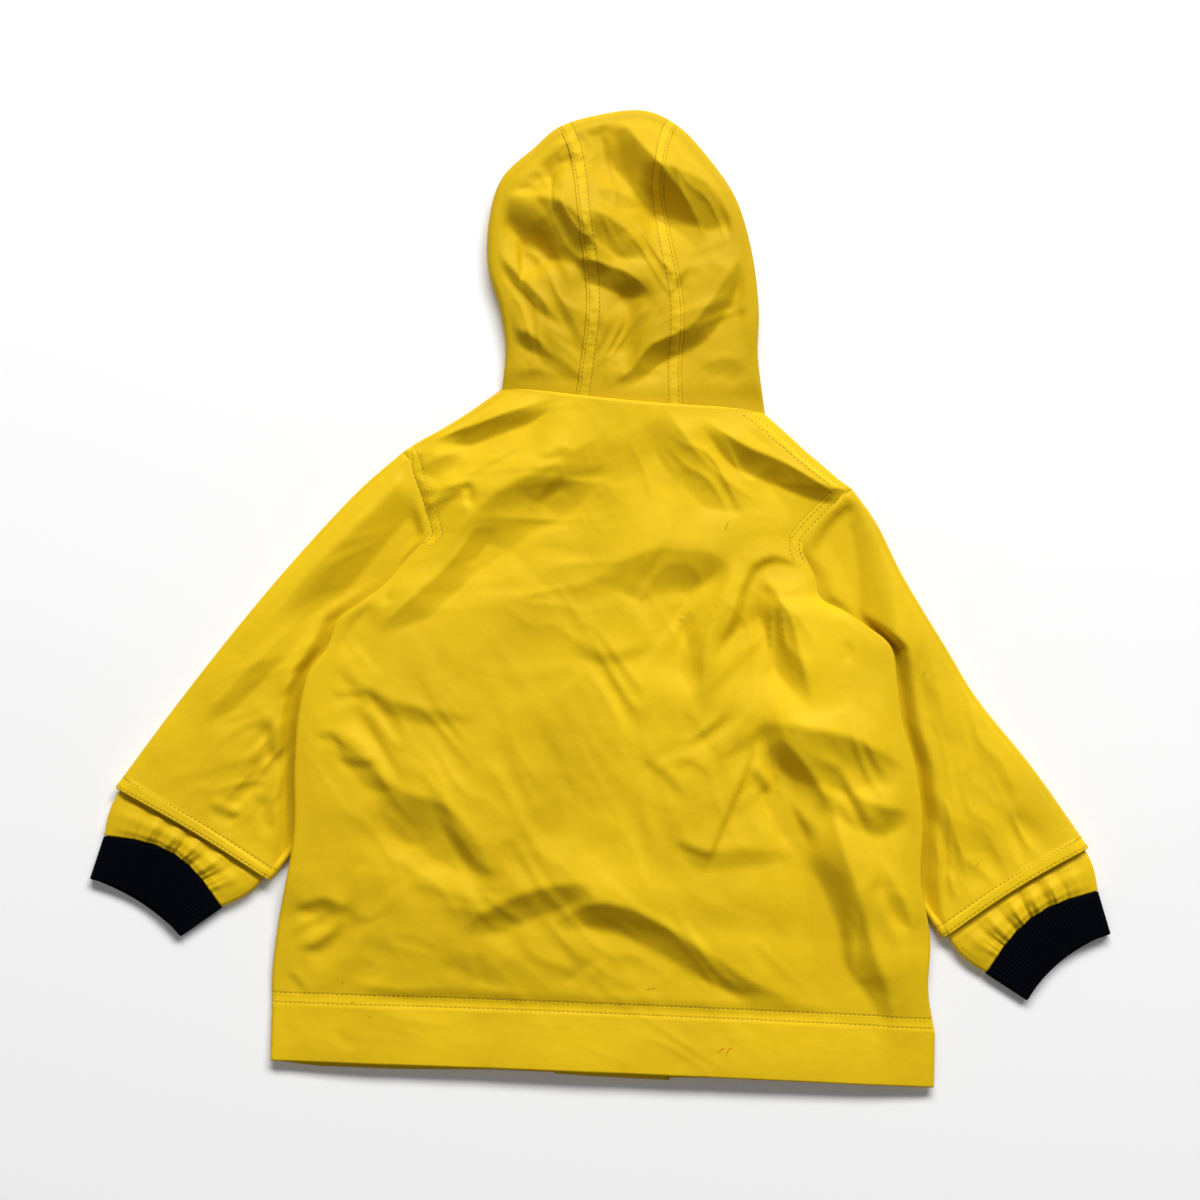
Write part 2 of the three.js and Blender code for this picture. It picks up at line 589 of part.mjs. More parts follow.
function seamCurve(side) {
  const last = rimRoll(side < 0 ? 0 : 2, side < 0 ? 1 : 0).start;
  const points = side < 0 ? HOOD_SEAM.left : HOOD_SEAM.right;
  return planCurve([...points, [last.x / WIDER, last.y / LONGER]]);
}

// One side of the hood, line by line from the neck to the top
function hoodSide(name, side) {
  const seam = seamCurve(side);
  const stretch = side < 0 ? 0 : 2;
  const lines = Array.from({ length: HOOD_SIDE_STEPS + 1 }, (_, i) => {
    const along = i / HOOD_SIDE_STEPS;
    const share = side < 0 ? along : 1 - along;
    const { start, points } = rimRoll(stretch, share);
    const gap = new THREE.Vector3(side * SEAM_GAP, -SEAM_GAP * smooth((along - 0.8) / 0.2), 0);
    const over = Array.from({ length: HOOD_TOP_COLUMNS }, (__, c) => {
      const point = seam.getPointAt(along).lerp(start, c / HOOD_TOP_COLUMNS);
      return point.setZ(hoodHeight(point));
    });
    return [...over, ...points, ...floorPoints(stretch, share, start)].map((point) => point.clone().add(gap));
  });
  const outer = side > 0 ? lines : lines.map((line) => [...line].reverse());
  return wallMesh(name, outer, false, () => CLOTH, YELLOW);
}

// The gusset runs up between the seams, bulges out to the roll at the top and turns under there
function hoodGusset() {
  const [left, right] = [seamCurve(-1), seamCurve(1)];
  const lines = Array.from({ length: GUSSET_COLUMNS + 1 }, (_, i) => {
    const across = i / GUSSET_COLUMNS;
    const { start, points } = rimRoll(1, across);
    const bulge = start.clone().sub(left.getPointAt(1).lerp(right.getPointAt(1), across));
    const over = Array.from({ length: GUSSET_STEPS }, (__, j) => {
      const along = j / GUSSET_STEPS;
      const point = left.getPointAt(along).lerp(right.getPointAt(along), across);
      const reach = smooth((along - GUSSET_BULGE_FROM) / (1 - GUSSET_BULGE_FROM));
      point.addScaledVector(bulge, reach);
      return point.setZ(hoodHeight(point));
    });
    return [...over, ...points, ...floorPoints(1, across, start)];
  });
  const rows = lines[0].map((_, j) => lines.map((line) => line[j]));
  return wallMesh('hood_gusset', rows, false, () => CLOTH, YELLOW);
}

// Fronts: flat on the floor under the back, one on each side of the placket
const FRONT_INSET = 1;
// Side and hem of each front, from below the armhole to the placket
const FRONT_SIDE = {
  left: [[-128, -82], [-206, -203], [-208, -250], [-208, -318], [-179, -320], [-121, -319], [-63, -316]],
  right: [[124, -79], [219, -222], [219, -262], [221, -309]],
};
const UNDERLAP_WIDTH = 60;

// The height of the front's neckline at a place across, just below the hood's front edge
function neckFrontY(x) {
  const next = Math.max(1, NECK_FRONT.findIndex(([at]) => at >= x));
  const [[x0, y0], [x1, y1]] = [NECK_FRONT[next - 1], NECK_FRONT[next]];
  return mix(y0, y1, (x - x0) / (x1 - x0)) - FRONT_INSET;
}

function frontOutline(name) {
  const sleeve = SLEEVES[name];
  const centreX = sleeve.side < 0 ? PLACKET.left - SEAM_GAP : PLACKET.right + SEAM_GAP;
  const shoulderX = sleeve.side < 0 ? NECK_FRONT[0][0] + FRONT_INSET : NECK_FRONT[3][0] - FRONT_INSET;
  const scaled = (list) => list.map(([x, y]) => new THREE.Vector3(x * WIDER, y * LONGER, 0));
  const armhole = Array.from({ length: 9 }, (_, i) => armholePoint(sleeve, i / 8));
  armhole.forEach((point) => point.setX(point.x - sleeve.side * FRONT_INSET));
  const neck = scaled([[centreX, neckFrontY(centreX)], [shoulderX, neckFrontY(shoulderX)]]);
  return [...neck, ...armhole, ...scaled(FRONT_SIDE[name]), ...scaled([[centreX, PLACKET.bottom + 1]])];
}

function frontPanel(name) {
  const shape = new THREE.Shape(frontOutline(name).map((point) => new THREE.Vector2(point.x, point.y)));
  const geometry = new THREE.ExtrudeGeometry(shape, { depth: CLOTH, bevelEnabled: false });
  const mesh = new THREE.Mesh(geometry, YELLOW);
  mesh.name = `front_${name}`;
  return mesh;
}

// The right front's edge under the placket, which the snaps close on
function frontUnderlap() {
  const height = (PLACKET.top - PLACKET.bottom) * LONGER;
  const mesh = new THREE.Mesh(new THREE.BoxGeometry(UNDERLAP_WIDTH * WIDER, height, CLOTH), YELLOW);
  const centreX = PLACKET.right + 12 - UNDERLAP_WIDTH / 2;
  mesh.position.set(centreX * WIDER, (PLACKET.top + PLACKET.bottom) / 2 * LONGER, 1.5 * CLOTH + 0.3);
  mesh.name = 'front_underlap';
  return mesh;
}

// Placket: the strip over the front opening, with round holes for its snaps
function snapPlaces() {
  const x = mix(PLACKET.left, PLACKET.right, 0.5) * WIDER;
  const from = (PLACKET.top - 30) * LONGER;
  const to = (PLACKET.bottom + 70) * LONGER;
  const shares = Array.from({ length: SNAP_COUNT }, (_, i) => i / (SNAP_COUNT - 1));
  return shares.map((share) => new THREE.Vector2(x, mix(from, to, share)));
}

function placket() {
  const { left, right, bottom } = PLACKET;
  const middle = NECK_FRONT[1][0] + 1;
  const top = [right, middle, left].map((x) => [x, neckFrontY(x)]);
  const corners = [[left, bottom], [right, bottom], ...top];
  const shape = new THREE.Shape(corners.map(([x, y]) => new THREE.Vector2(x * WIDER, y * LONGER)));
  for (const { x, y } of snapPlaces()) {
    const hole = new THREE.Path();
    hole.absarc(x, y, SNAP_DIAMETER / 2 + 0.3, 0, 2 * Math.PI, true);
    shape.holes.push(hole);
  }
  const geometry = new THREE.ExtrudeGeometry(shape, { depth: CLOTH, bevelEnabled: false, curveSegments: 16 });
  const mesh = new THREE.Mesh(geometry, YELLOW);
  mesh.name = 'front_placket';
  return mesh;
}

function snapCap(place, index) {
  const disc = new THREE.CylinderGeometry(SNAP_DIAMETER / 2, SNAP_DIAMETER / 2, CLOTH, 16);
  const cap = new THREE.Mesh(disc, SNAP);
  cap.rotation.x = Math.PI / 2;
  cap.position.set(place.x, place.y, CLOTH / 2);
  cap.name = `snap_${index + 1}`;
  return cap;
}

const coat = new THREE.Group();
coat.add(backPanel(), frontPanel('left'), frontPanel('right'), frontUnderlap(), placket());
snapPlaces().forEach((place, index) => coat.add(snapCap(place, index)));
for (const [name, sleeve] of Object.entries(SLEEVES)) {
  const cuff = CUFFS[name];
  coat.add(sleeveMesh(name, sleeve));
  coat.add(tubeOf(`inner_cuff_${name}`, cuffGrid(cuff, sleeve.side), sleeve.side, () => CLOTH, YELLOW));
  coat.add(tubeOf(`rib_${name}`, ribGrid(cuff, sleeve.side), sleeve.side, () => RIB_CLOTH, NAVY));
}
coat.add(hoodGusset(), hoodSide('hood_left', -1), hoodSide('hood_right', 1));

export default coat;
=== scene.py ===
"""A child's raincoat lying on its front, dressed in cloth over its solid model."""
import json
import math
import bmesh
import bpy
import numpy as np
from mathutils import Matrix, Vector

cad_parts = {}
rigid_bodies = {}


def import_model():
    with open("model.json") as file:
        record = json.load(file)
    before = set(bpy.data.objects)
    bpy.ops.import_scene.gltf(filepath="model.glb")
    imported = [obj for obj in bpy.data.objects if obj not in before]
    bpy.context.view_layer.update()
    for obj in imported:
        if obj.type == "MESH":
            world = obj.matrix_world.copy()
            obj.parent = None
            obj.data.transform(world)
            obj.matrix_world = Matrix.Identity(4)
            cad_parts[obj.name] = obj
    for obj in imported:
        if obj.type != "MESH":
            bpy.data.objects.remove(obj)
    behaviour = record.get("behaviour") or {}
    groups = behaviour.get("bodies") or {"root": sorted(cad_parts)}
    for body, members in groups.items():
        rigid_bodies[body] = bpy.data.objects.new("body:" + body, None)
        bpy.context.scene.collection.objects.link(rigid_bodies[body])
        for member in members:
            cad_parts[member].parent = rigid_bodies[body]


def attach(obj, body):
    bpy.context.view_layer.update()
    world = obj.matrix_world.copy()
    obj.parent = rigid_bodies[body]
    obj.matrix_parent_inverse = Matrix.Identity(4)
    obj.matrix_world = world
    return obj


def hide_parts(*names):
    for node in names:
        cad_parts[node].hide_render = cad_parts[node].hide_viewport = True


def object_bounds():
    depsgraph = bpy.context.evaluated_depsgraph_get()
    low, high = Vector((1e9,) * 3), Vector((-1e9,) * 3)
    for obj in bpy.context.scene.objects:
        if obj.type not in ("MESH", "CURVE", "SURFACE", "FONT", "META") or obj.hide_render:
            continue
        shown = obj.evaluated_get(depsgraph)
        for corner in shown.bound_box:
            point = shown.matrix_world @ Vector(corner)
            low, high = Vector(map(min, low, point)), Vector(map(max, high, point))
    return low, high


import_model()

CAD_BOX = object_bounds()
MM = 0.001

# The tables below are in millimetres on a coat of this span and length, and follow the solid model's size
DRAWN_SPAN = 673.0
DRAWN_LENGTH = 638.8
WIDER = (CAD_BOX[1].x - CAD_BOX[0].x) / MM / DRAWN_SPAN
LONGER = (CAD_BOX[1].y - CAD_BOX[0].y) / MM / DRAWN_LENGTH

# Thickness of the cloth and of the knit, the step from one layer of cloth to the next, and the start of
# the random numbers
CLOTH = 0.9
RIB_CLOTH = 1.3
LAYER = 1.3
SEED = 7

# Edges of the back as (x, y). Between the shoulder and the side fold runs the sleeve's armhole.
BACK_LEFT = {
    "shoulder": ((-83, 131), (-105, 114), (-121, 103), (-134, 95), (-145, 87)),
    "fold": ((-124, 33), (-136, 20), (-152, 0), (-167, -13), (-182, -26), (-188, -44), (-199, -61),
             (-204, -86), (-205, -123), (-203, -163), (-205, -189), (-210, -222), (-213, -260), (-212, -282)),
    "hem": ((-212, -282), (-211, -317)),
}
BACK_RIGHT = {
    "shoulder": ((91, 125), (111, 109), (130, 93), (152, 78)),
    "fold": ((120, 37), (130, 19), (134, 6), (150, -2), (165, -11), (182, -24), (188, -49), (193, -75),
             (202, -101), (209, -137), (210, -177), (218, -214), (219, -249), (225, -277)),
    "hem": ((225, -277), (226, -312)),
}
# Steps of the back's rows on each part of its edge, its columns, and the steps of the curl at its sides
BACK_STEPS = {"shoulder": 26, "armhole": 28, "fold": 134, "hem": 26}
BACK_COLUMNS = 190
BACK_CURL_STEPS = 7

# Height of the back from the neck (0) to the hem (1): left edge, crown, right edge, curl in degrees,
# the curl's radius, and the bow of the cross line
BACK_ROWS = (
    (0.00, 9.0, 16.5, 9.0, 90, 6.6, -2.3),
    (0.10, 6.0, 15.6, 6.0, 80, 4.2, 0.0),
    (0.13, 6.2, 15.4, 6.2, 4, 2.6, 0.0),
    (0.26, 7.4, 15.3, 7.4, 4, 2.6, 0.0),
    (0.33, 12.5, 16.0, 12.5, 150, 2.8, 0.0),
    (0.50, 14.0, 17.0, 14.0, 155, 3.0, 0.0),
    (0.72, 12.5, 16.0, 13.0, 150, 2.8, 0.0),
    (0.80, 7.6, 13.0, 9.6, 92, 3.2, 2.0),
    (0.915, 5.2, 8.0, 5.2, 88, 3.2, 4.5),
    (1.00, 6.6, 10.0, 6.6, 88, 3.1, 1.5),
)

# The back stays above this height over the sleeves, and above the second one at the hem. The change
# starts at this share of its length and takes the second share.
BACK_LOWEST = (7.2, 4.6)
BACK_LOWEST_CHANGE = (0.72, 0.16)
# Over these shares folds fade out at the sides of the back, and to a half at its neck and its hem
BACK_FADE = {"side": 0.03, "neck": 0.04, "hem": 0.12}
FADED = 0.5

# Folds: kind, line, height, and two widths. A ridge has its widths to the left and right of its line (a
# trough is below 0). A fall drops to the right of its line by its height over the second width, and the
# cloth comes back to its level over the first width on both sides.
BACK_FOLDS = (
    ("fall", ((-129, 95), (-99, 106), (-73, 117), (-42, 128)), 6.6, 30, 12),
    ("fall", ((-137, 74), (-120, 84), (-104, 91)), 2.6, 12, 10),
    ("fall", ((-159, -35), (-126, -2), (-105, 21), (-87, 52)), 5.2, 40, 17),
    ("fall", ((-119, 13), (-97, 45), (-75, 66), (-44, 83), (-8, 109)), 7.6, 50, 34),
    ("fall", ((-144, 28), (-125, 52), (-112, 65), (-96, 70)), 2.8, 14, 9),
    ("fall", ((-105, 71), (-81, 86), (-64, 96)), 0.8, 8, 3),
    ("fall", ((-60, 57), (-50, 67), (-40, 79)), 1.6, 20, 6),
    ("fall", ((-51, 85), (-44, 94), (-30, 93)), 1.4, 14, 7),
    ("ridge", ((-104, 69), (-99, 61), (-100, 52)), -1.4, 4, 4),
    ("fall", ((25, 125), (42, 102), (61, 83), (95, 63)), 5.4, 36, 22),
    ("fall", ((48, 120), (78, 102), (105, 92), (131, 79), (163, 66)), 8.2, 38, 16),
    ("fall", ((79, 117), (89, 113), (98, 103)), 1.0, 8, 6),
    ("fall", ((-17, 9), (3, 22), (29, 32), (59, 31), (83, 15)), 4.8, 40, 30),
    ("fall", ((79, 28), (67, -5), (59, -33), (62, -74)), 6.0, 30, 16),
    ("ridge", ((40, -1), (50, -33), (59, -66)), -1.4, 9, 5),
    ("fall", ((60, -41), (74, -18), (82, 11), (89, 25), (102, 31), (130, 22)), 3.2, 15, 6),
    ("fall", ((92, 14), (110, 9), (123, 11)), 1.0, 10, 5),
    ("fall", ((97, 17), (112, -5), (121, -31), (133, -70)), 9.5, 44, 18),
    ("ridge", ((148, -22), (154, -29), (150, -37)), -0.8, 3, 3),
    ("fall", ((105, -57), (113, -86), (129, -105), (146, -129), (157, -160), (169, -192), (180, -225),
              (193, -257), (202, -313)), 12.5, 53, 28),
    ("fall", ((91, -103), (112, -123), (129, -138), (140, -158)), 4.0, 18, 9),
    ("fall", ((98, -78), (126, -80), (159, -86), (201, -106)), 11.0, 51, 36),
    ("fall", ((147, -111), (171, -126), (203, -132)), 6.0, 28, 20),
    ("fall", ((150, -98), (167, -126), (177, -151)), 1.6, 8, 6),
    ("fall", ((182, -164), (196, -186), (210, -211)), 2.6, 12, 10),
    ("fall", ((64, -185), (72, -159), (85, -123), (93, -99), (96, -57)), 2.6, 12, 3.5),
    ("fall", ((46, -158), (68, -164), (91, -161), (134, -162)), 2.2, 24, 13),
    ("fall", ((45, -156), (58, -160), (75, -166)), 1.2, 10, 6),
    ("fall", ((22, -104), (38, -112), (56, -132)), 1.0, 12, 6),
    ("fall", ((38, -110), (55, -104), (70, -115)), 0.9, 12, 6),
    ("fall", ((-94, -226), (-66, -206), (-37, -193), (-2, -188)), 6.0, 34, 19),
    ("fall", ((-35, -223), (-16, -208), (3, -201), (30, -208), (61, -224), (98, -246), (146, -268)),
     6.8, 40, 19),
    ("fall", ((-49, -166), (-25, -180), (-7, -195), (4, -206)), 1.6, 40, 13),
    ("fall", ((-180, -97), (-155, -118), (-137, -137)), 3.2, 26, 13),
    ("fall", ((-153, -125), (-127, -137), (-103, -144), (-85, -163), (-66, -197)), 8.4, 55, 33),
    ("fall", ((-110, -148), (-94, -162), (-80, -178), (-60, -188)), 1.8, 18, 8),
    ("fall", ((-196, -46), (-181, -22), (-160, -2)), 2.8, 16, 13),
    ("ridge", ((-154, 1), (-151, -7), (-148, -15)), -0.9, 4, 4),
    ("fall", ((-38, -5), (-17, 8), (7, 17)), 1.2, 22, 12),
    ("fall", ((-25, -31), (-8, -38), (32, -28)), 1.4, 18, 8),
    ("fall", ((-183, -53), (-153, -72), (-125, -80), (-79, -84)), 2.2, 26, 11),
    ("fall", ((-186, -72), (-169, -72), (-152, -68)), 1.0, 8, 5),
    ("ridge", ((-159, -85), (-156, -79), (-152, -74)), -0.7, 3, 3),
    ("fall", ((-193, -102), (-180, -99), (-169, -110)), 1.2, 8, 5),
    ("fall", ((-176, -116), (-162, -116), (-147, -114)), 1.2, 8, 5),
    ("fall", ((-203, -217), (-181, -208), (-162, -214)), 3.2, 15, 10),
    ("fall", ((-197, -243), (-178, -232), (-165, -205)), 2.8, 13, 8),
    ("fall", ((-205, -253), (-195, -262), (-185, -275)), 0.8, 7, 4),
    ("ridge", ((-79, -238), (-76, -249), (-73, -261)), -0.6, 4, 4),
    ("ridge", ((-21, -259), (-11, -248), (3, -237)), -0.8, 4, 4),
    ("fall", ((-220, -267), (-76, -265), (70, -264), (228, -262)), 1.6, 34, 9),
    ("ridge", ((-24, -302), (-21, -292), (-20, -283)), -0.7, 3, 3),
    ("ridge", ((-170, -292), (-163, -302), (-152, -300)), -0.7, 4, 4),
    ("ridge", ((194, -73), (202, -125), (205, -171), (210, -207)), -0.7, 1.6, 1.6),
)
HOOD_FOLDS = (
    ("fall", ((-99, 251), (-75, 256), (-50, 252), (-31, 235), (-17, 208)), 11.0, 45, 32),
    ("fall", ((-38, 220), (-22, 215), (-3, 209), (15, 196)), 5.2, 24, 14),
    ("fall", ((-103, 259), (-83, 281), (-62, 292), (-39, 292)), 8.2, 32, 22),
    ("fall", ((-25, 326), (-6, 300), (11, 282), (30, 261), (52, 227)), 9.4, 38, 23),
    ("fall", ((1, 283), (25, 277), (50, 269), (79, 262)), 8.0, 37, 28),
    ("fall", ((-28, 263), (-14, 263), (5, 254)), 2.0, 14, 9),
    ("fall", ((-33, 249), (-19, 245), (-3, 235), (14, 221)), 4.8, 22, 17),
    ("fall", ((-96, 226), (-77, 208), (-60, 192), (-42, 172)), 2.8, 16, 7),
    ("fall", ((-90, 160), (-77, 170), (-63, 166), (-47, 152)), 3.4, 16, 9),
    ("fall", ((-61, 159), (-43, 152), (-25, 136)), 2.0, 14, 9),
    ("fall", ((-25, 129), (-1, 144), (14, 163), (30, 172), (41, 179), (52, 195), (67, 220), (89, 250)),
     5.4, 28, 13),
    ("fall", ((-76, 140), (-58, 145), (-36, 139)), 0.9, 12, 7),
    ("fall", ((44, 154), (63, 158), (82, 152)), 1.3, 16, 12),
    ("fall", ((71, 187), (77, 197), (86, 202)), 1.8, 12, 8),
    ("ridge", ((41, 310), (44, 293), (47, 276)), -0.9, 2.5, 2.5),
    ("fall", ((24, 197), (30, 210), (39, 222)), 1.3, 8, 4),
    ("ridge", ((-7, 205), (-2, 175), (-7, 143)), -2.6, 9, 9),
    ("fall", ((-54, 280), (-45, 287), (-32, 284)), 1.3, 10, 6),
    ("fall", ((-47, 193), (-35, 174), (-26, 153)), 1.2, 14, 6),
)
SLEEVE_FOLDS = (
    ("fall", ((-243, -55), (-205, -2), (-178, 29), (-151, 59), (-127, 86), (-107, 110)), 12.0, 50, 26),
    ("fall", ((-272, -103), (-250, -75), (-222, -44), (-198, -20)), 3.4, 20, 12),
    ("fall", ((-219, -80), (-202, -58), (-187, -39)), 3.4, 16, 10),
    ("fall", ((-252, -150), (-241, -138), (-227, -121)), 2.2, 10, 8),
    ("ridge", ((-225, -94), (-224, -109), (-218, -125)), -1.7, 5, 5),
    ("ridge", ((-204, -94), (-209, -112), (-218, -131)), -1.4, 6, 6),
    ("ridge", ((-226, -142), (-223, -157), (-218, -172)), -1.4, 5, 5),
    ("fall", ((-260, -149), (-248, -152), (-236, -157)), 2.1, 8, 7),
    ("fall", ((148, 104), (164, 72), (175, 43), (181, 10), (185, -26), (190, -67)), 12.6, 52, 23),
    ("fall", ((142, 42), (151, 51), (159, 66)), 2.1, 6, 3),
    ("fall", ((133, 62), (146, 69), (159, 71)), 4.2, 19, 7),
    ("ridge", ((217, 2), (222, -19), (228, -39)), -1.7, 6, 6),
    ("ridge", ((239, -41), (250, -81), (269, -118)), 1.3, 8, 8),
    ("fall", ((264, -83), (280, -94), (301, -114)), 2.0, 12, 8),
    ("ridge", ((266, -125), (283, -144), (297, -163)), -1.3, 7, 7),
    ("fall", ((205, -19), (214, -51), (224, -90)), 2.8, 14, 10),
    ("fall", ((220, -117), (232, -149), (241, -179)), 2.2, 12, 9),
)

# Groups of small wrinkles: place, reach, direction in degrees, height and spacing
BACK_STREAKS = (
    ((-130, 62), 34, 48, 1.1, 9), ((-60, 78), 40, 32, 0.9, 11), ((20, 95), 40, -42, 0.8, 12),
    ((70, 80), 30, -35, 0.9, 9), ((60, -5), 42, 80, 1.4, 11), ((100, -20), 30, -62, 1.5, 10),
    ((75, -90), 36, 62, 1.1, 11), ((110, -120), 34, -55, 1.4, 10), ((165, -105), 34, -40, 1.3, 11),
    ((165, -215), 42, -66, 1.5, 11), ((-150, -95), 48, -30, 1.3, 11), ((-95, -170), 52, -38, 1.5, 12),
    ((-20, -215), 48, -24, 1.2, 11), ((70, -235), 48, -26, 1.2, 12), ((-180, -225), 34, 55, 1.0, 10),
    ((-120, -245), 50, 12, 0.8, 14), ((0, -60), 60, -35, 0.9, 16), ((-80, 0), 60, 30, 0.9, 16),
    ((-110, -295), 60, 5, 0.5, 12), ((60, -295), 60, -5, 0.5, 12), ((-40, 35), 50, 20, 0.7, 14),
    ((30, -150), 50, -50, 0.9, 14), ((-60, -110), 50, -40, 0.8, 15),
)
SLEEVE_STREAKS = (
    ((-185, 25), 46, 50, 1.0, 10), ((-235, -60), 46, 52, 1.1, 11), ((-250, -130), 34, 40, 1.1, 9),
    ((-215, -110), 30, 70, 1.2, 9), ((195, -10), 36, -68, 1.1, 9), ((230, -80), 46, -55, 1.1, 11),
    ((265, -150), 34, -40, 1.0, 10), ((225, -165), 34, -62, 1.1, 9),
)
HOOD_STREAKS = (
    ((-60, 180), 34, -48, 1.3, 8), ((-75, 270), 30, 40, 1.0, 8), ((-10, 280), 34, -50, 1.1, 8),
    ((60, 260), 30, -40, 1.0, 9), ((60, 190), 36, 50, 1.0, 9), ((0, 170), 30, 88, 0.9, 8),
    ((-50, 235), 30, -35, 1.1, 9), ((10, 225), 26, -30, 0.9, 9),
)

# Marks on the cloth: place, length, width, turn, strength and colour
ORANGE = (0.62, 0.13, 0.01, 1)
BROWN = (0.17, 0.10, 0.01, 1)
MARKS = (
    ((85, -294), 4.5, 0.9, 35, 0.85, ORANGE), ((89, -295), 3.6, 0.8, 70, 0.8, ORANGE),
    ((91, -293), 2.2, 0.7, 10, 0.7, ORANGE), ((36, -257), 5.5, 1.3, 10, 0.3, BROWN),
    ((70, 49), 4.6, 0.7, 72, 0.5, BROWN), ((205, -40), 2.2, 0.7, 60, 0.5, BROWN),
    ((-159, -276), 1.8, 1.0, 20, 0.45, BROWN), ((-147, -285), 3.2, 0.8, 5, 0.35, BROWN),
    ((-166, -264), 2.0, 0.7, 80, 0.45, BROWN), ((246, -164), 3.0, 0.8, 50, 0.4, BROWN),
)

# Sleeves: their edges from the body to the end, the bow of the armhole and of the end, and the share of
# the armhole that shows beside the back
SLEEVES = {
    "left": {"outer": ((-145, 87), (-171, 62), (-213, 12), (-250, -37), (-285, -87), (-322, -143)),
             "inner": ((-122, -72), (-217, -199)),
             "bow": (15, 2), "shown": 0.345, "side": -1},
    "right": {"outer": ((152, 78), (168, 58), (188, 23), (219, -23), (240, -54), (280, -99), (319, -149)),
              "inner": ((118, -70), (226, -214)),
              "bow": (30, 3), "shown": 0.275, "side": 1},
}
# Height of a sleeve along its length: its outer edge, its inner edge, and the rise of its top
SLEEVE_ROWS = (
    (0.00, 5.2, 5.2, 2.2),
    (0.30, 5.4, 5.2, 5.6),
    (0.70, 6.2, 5.2, 6.0),
    (0.90, 8.6, 5.6, 3.6),
    (1.00, 10.0, 9.0, 2.6),
)
# The depth of the stitched end
SLEEVE_HEM = 9.0
# The top of a sleeve along its armhole seam, and where the body covers it
ARMHOLE_LEVEL = 6.9
SLEEVE_DIP = 2.0
# Below the armhole the top sinks to there over this length. It rises from under the body's side fold
# this far outside the fold, over the second width.
SLEEVE_DIP_LENGTH = 24
SLEEVE_RISE = (1.5, 11)
# The folds of a sleeve fade out over this share of its length at its end
SLEEVE_FADE = 0.12
# How many times faster than the sleeve's length its bow changes, from the armhole's to its end's
BOW_PACE = 1.4
# How far the first ring is pushed in under the back, back and down, and its lowest height
SLEEVE_TUCK = (-4.0, -1.0, -0.8)
SLEEVE_TUCK_LOWEST = 0.6
# Wrists: outer and inner point where the cuff starts, where the rib is sewn on and where it ends, the
# bows of these two, the bow of the underside, and how far the cuff swells out on both sides
CUFFS = {
    "left": {"start": ((-315, -139), (-218, -190)), "seam": ((-328, -175), (-248, -218)),
             "end": ((-336, -204), (-274, -239)), "bows": (14, 7), "under": 4, "bulge": (3, 5)},
    "right": {"start": ((312, -145), (226, -204)), "seam": ((327, -177), (256, -235)),
              "end": ((337, -205), (284, -252)), "bows": (12, 8), "under": 5.5, "bulge": (3, 5)},
}
# Stations of the inner cuff: along, lift from the floor, edge height, rise, share of the gathers
CUFF_ROWS = (
    (0.00, 2.2, 6.4, 0.4, 0.0),
    (0.20, 2.2, 6.6, 0.8, 0.1),
    (0.38, 0.9, 7.2, 2.6, 0.5),
    (0.60, 0.0, 7.6, 4.2, 0.9),
    (0.82, 0.0, 7.4, 3.6, 1.0),
    (1.00, 0.0, 7.0, 1.6, 0.8),
)
# Gathers on the top of a cuff: how deep they are, then where across, height and width
GATHER_DEPTH = 1.25
GATHERS = (
    (0.10, 1.3, 0.030), (0.19, -1.2, 0.022), (0.27, 1.7, 0.026), (0.35, -1.5, 0.024), (0.43, 1.5, 0.030),
    (0.51, -1.6, 0.020), (0.58, 1.6, 0.024), (0.66, -1.2, 0.026), (0.73, 1.5, 0.024), (0.81, -1.3, 0.022),
    (0.89, 1.2, 0.028),
)
# Gathers are wider at the sleeve than at the rib, and lean there: how far, and how their lean changes
# across the cuff
GATHER_SPREAD = (1.5, 0.85)
GATHER_LEAN = (0.03, 9)
# Fine crinkles between them: height, waves across, unevenness and its waves, where they start, and over
# which share of the length they grow
CRINKLES = (0.25, 140, 3, 23, 0.55, 0.4)
# How full the top of the wrist's tubes is across, and the edge height and rise of a rib from seam to end
WRIST_FULL = 0.6
RIB_EDGE = (7.0, 6.6)
RIB_RISE = (1.4, 0.4)

# The hood's outline and its face opening, each as left, top and right, and its seams from the neck up
HOOD_OUTLINE = (
    ((-82, 129), (-81, 158), (-86, 184), (-95, 210), (-96, 243), (-89, 270), (-69, 291), (-54, 305)),
    ((-27, 315), (3, 319)),
    ((25, 310), (47, 289), (65, 265), (77, 232), (84, 193), (85, 163), (92, 124)),
)
HOOD_FACE = (
    ((4, 103), (-24, 130), (-52, 165), (-63, 200), (-64, 232), (-56, 258), (-44, 274), (-32, 285)),
    ((-10, 290),),
    ((12, 286), (26, 274), (38, 256), (50, 230), (56, 200), (52, 165), (32, 130), (6, 103)),
)
HOOD_SEAM = {
    -1: ((-34, 119), (-31, 151), (-29, 190), (-37, 243), (-45, 286)),
    1: ((38, 116), (35, 148), (34, 191), (23, 239), (17, 265), (18, 289)),
}
# Height of the hood from the neck (0) to its top (1): the radius of its edge and its crown
HOOD_ROWS = (
    (0.00, 2.4, 12.6),
    (0.05, 2.6, 13.2),
    (0.14, 4.4, 14.6),
    (0.35, 6.0, 18.6),
    (0.65, 6.5, 23.4),
    (0.86, 6.5, 25.6),
    (1.00, 6.5, 22.0),
)
# The hood reaches its crown this far in from its roll. Its folds grow over the second length from the
# roll, and from this place above the neck over the next length.
HOOD_DOME = 75
HOOD_ROLL_FADE = 8
HOOD_NECK_FADE = (132, 14)
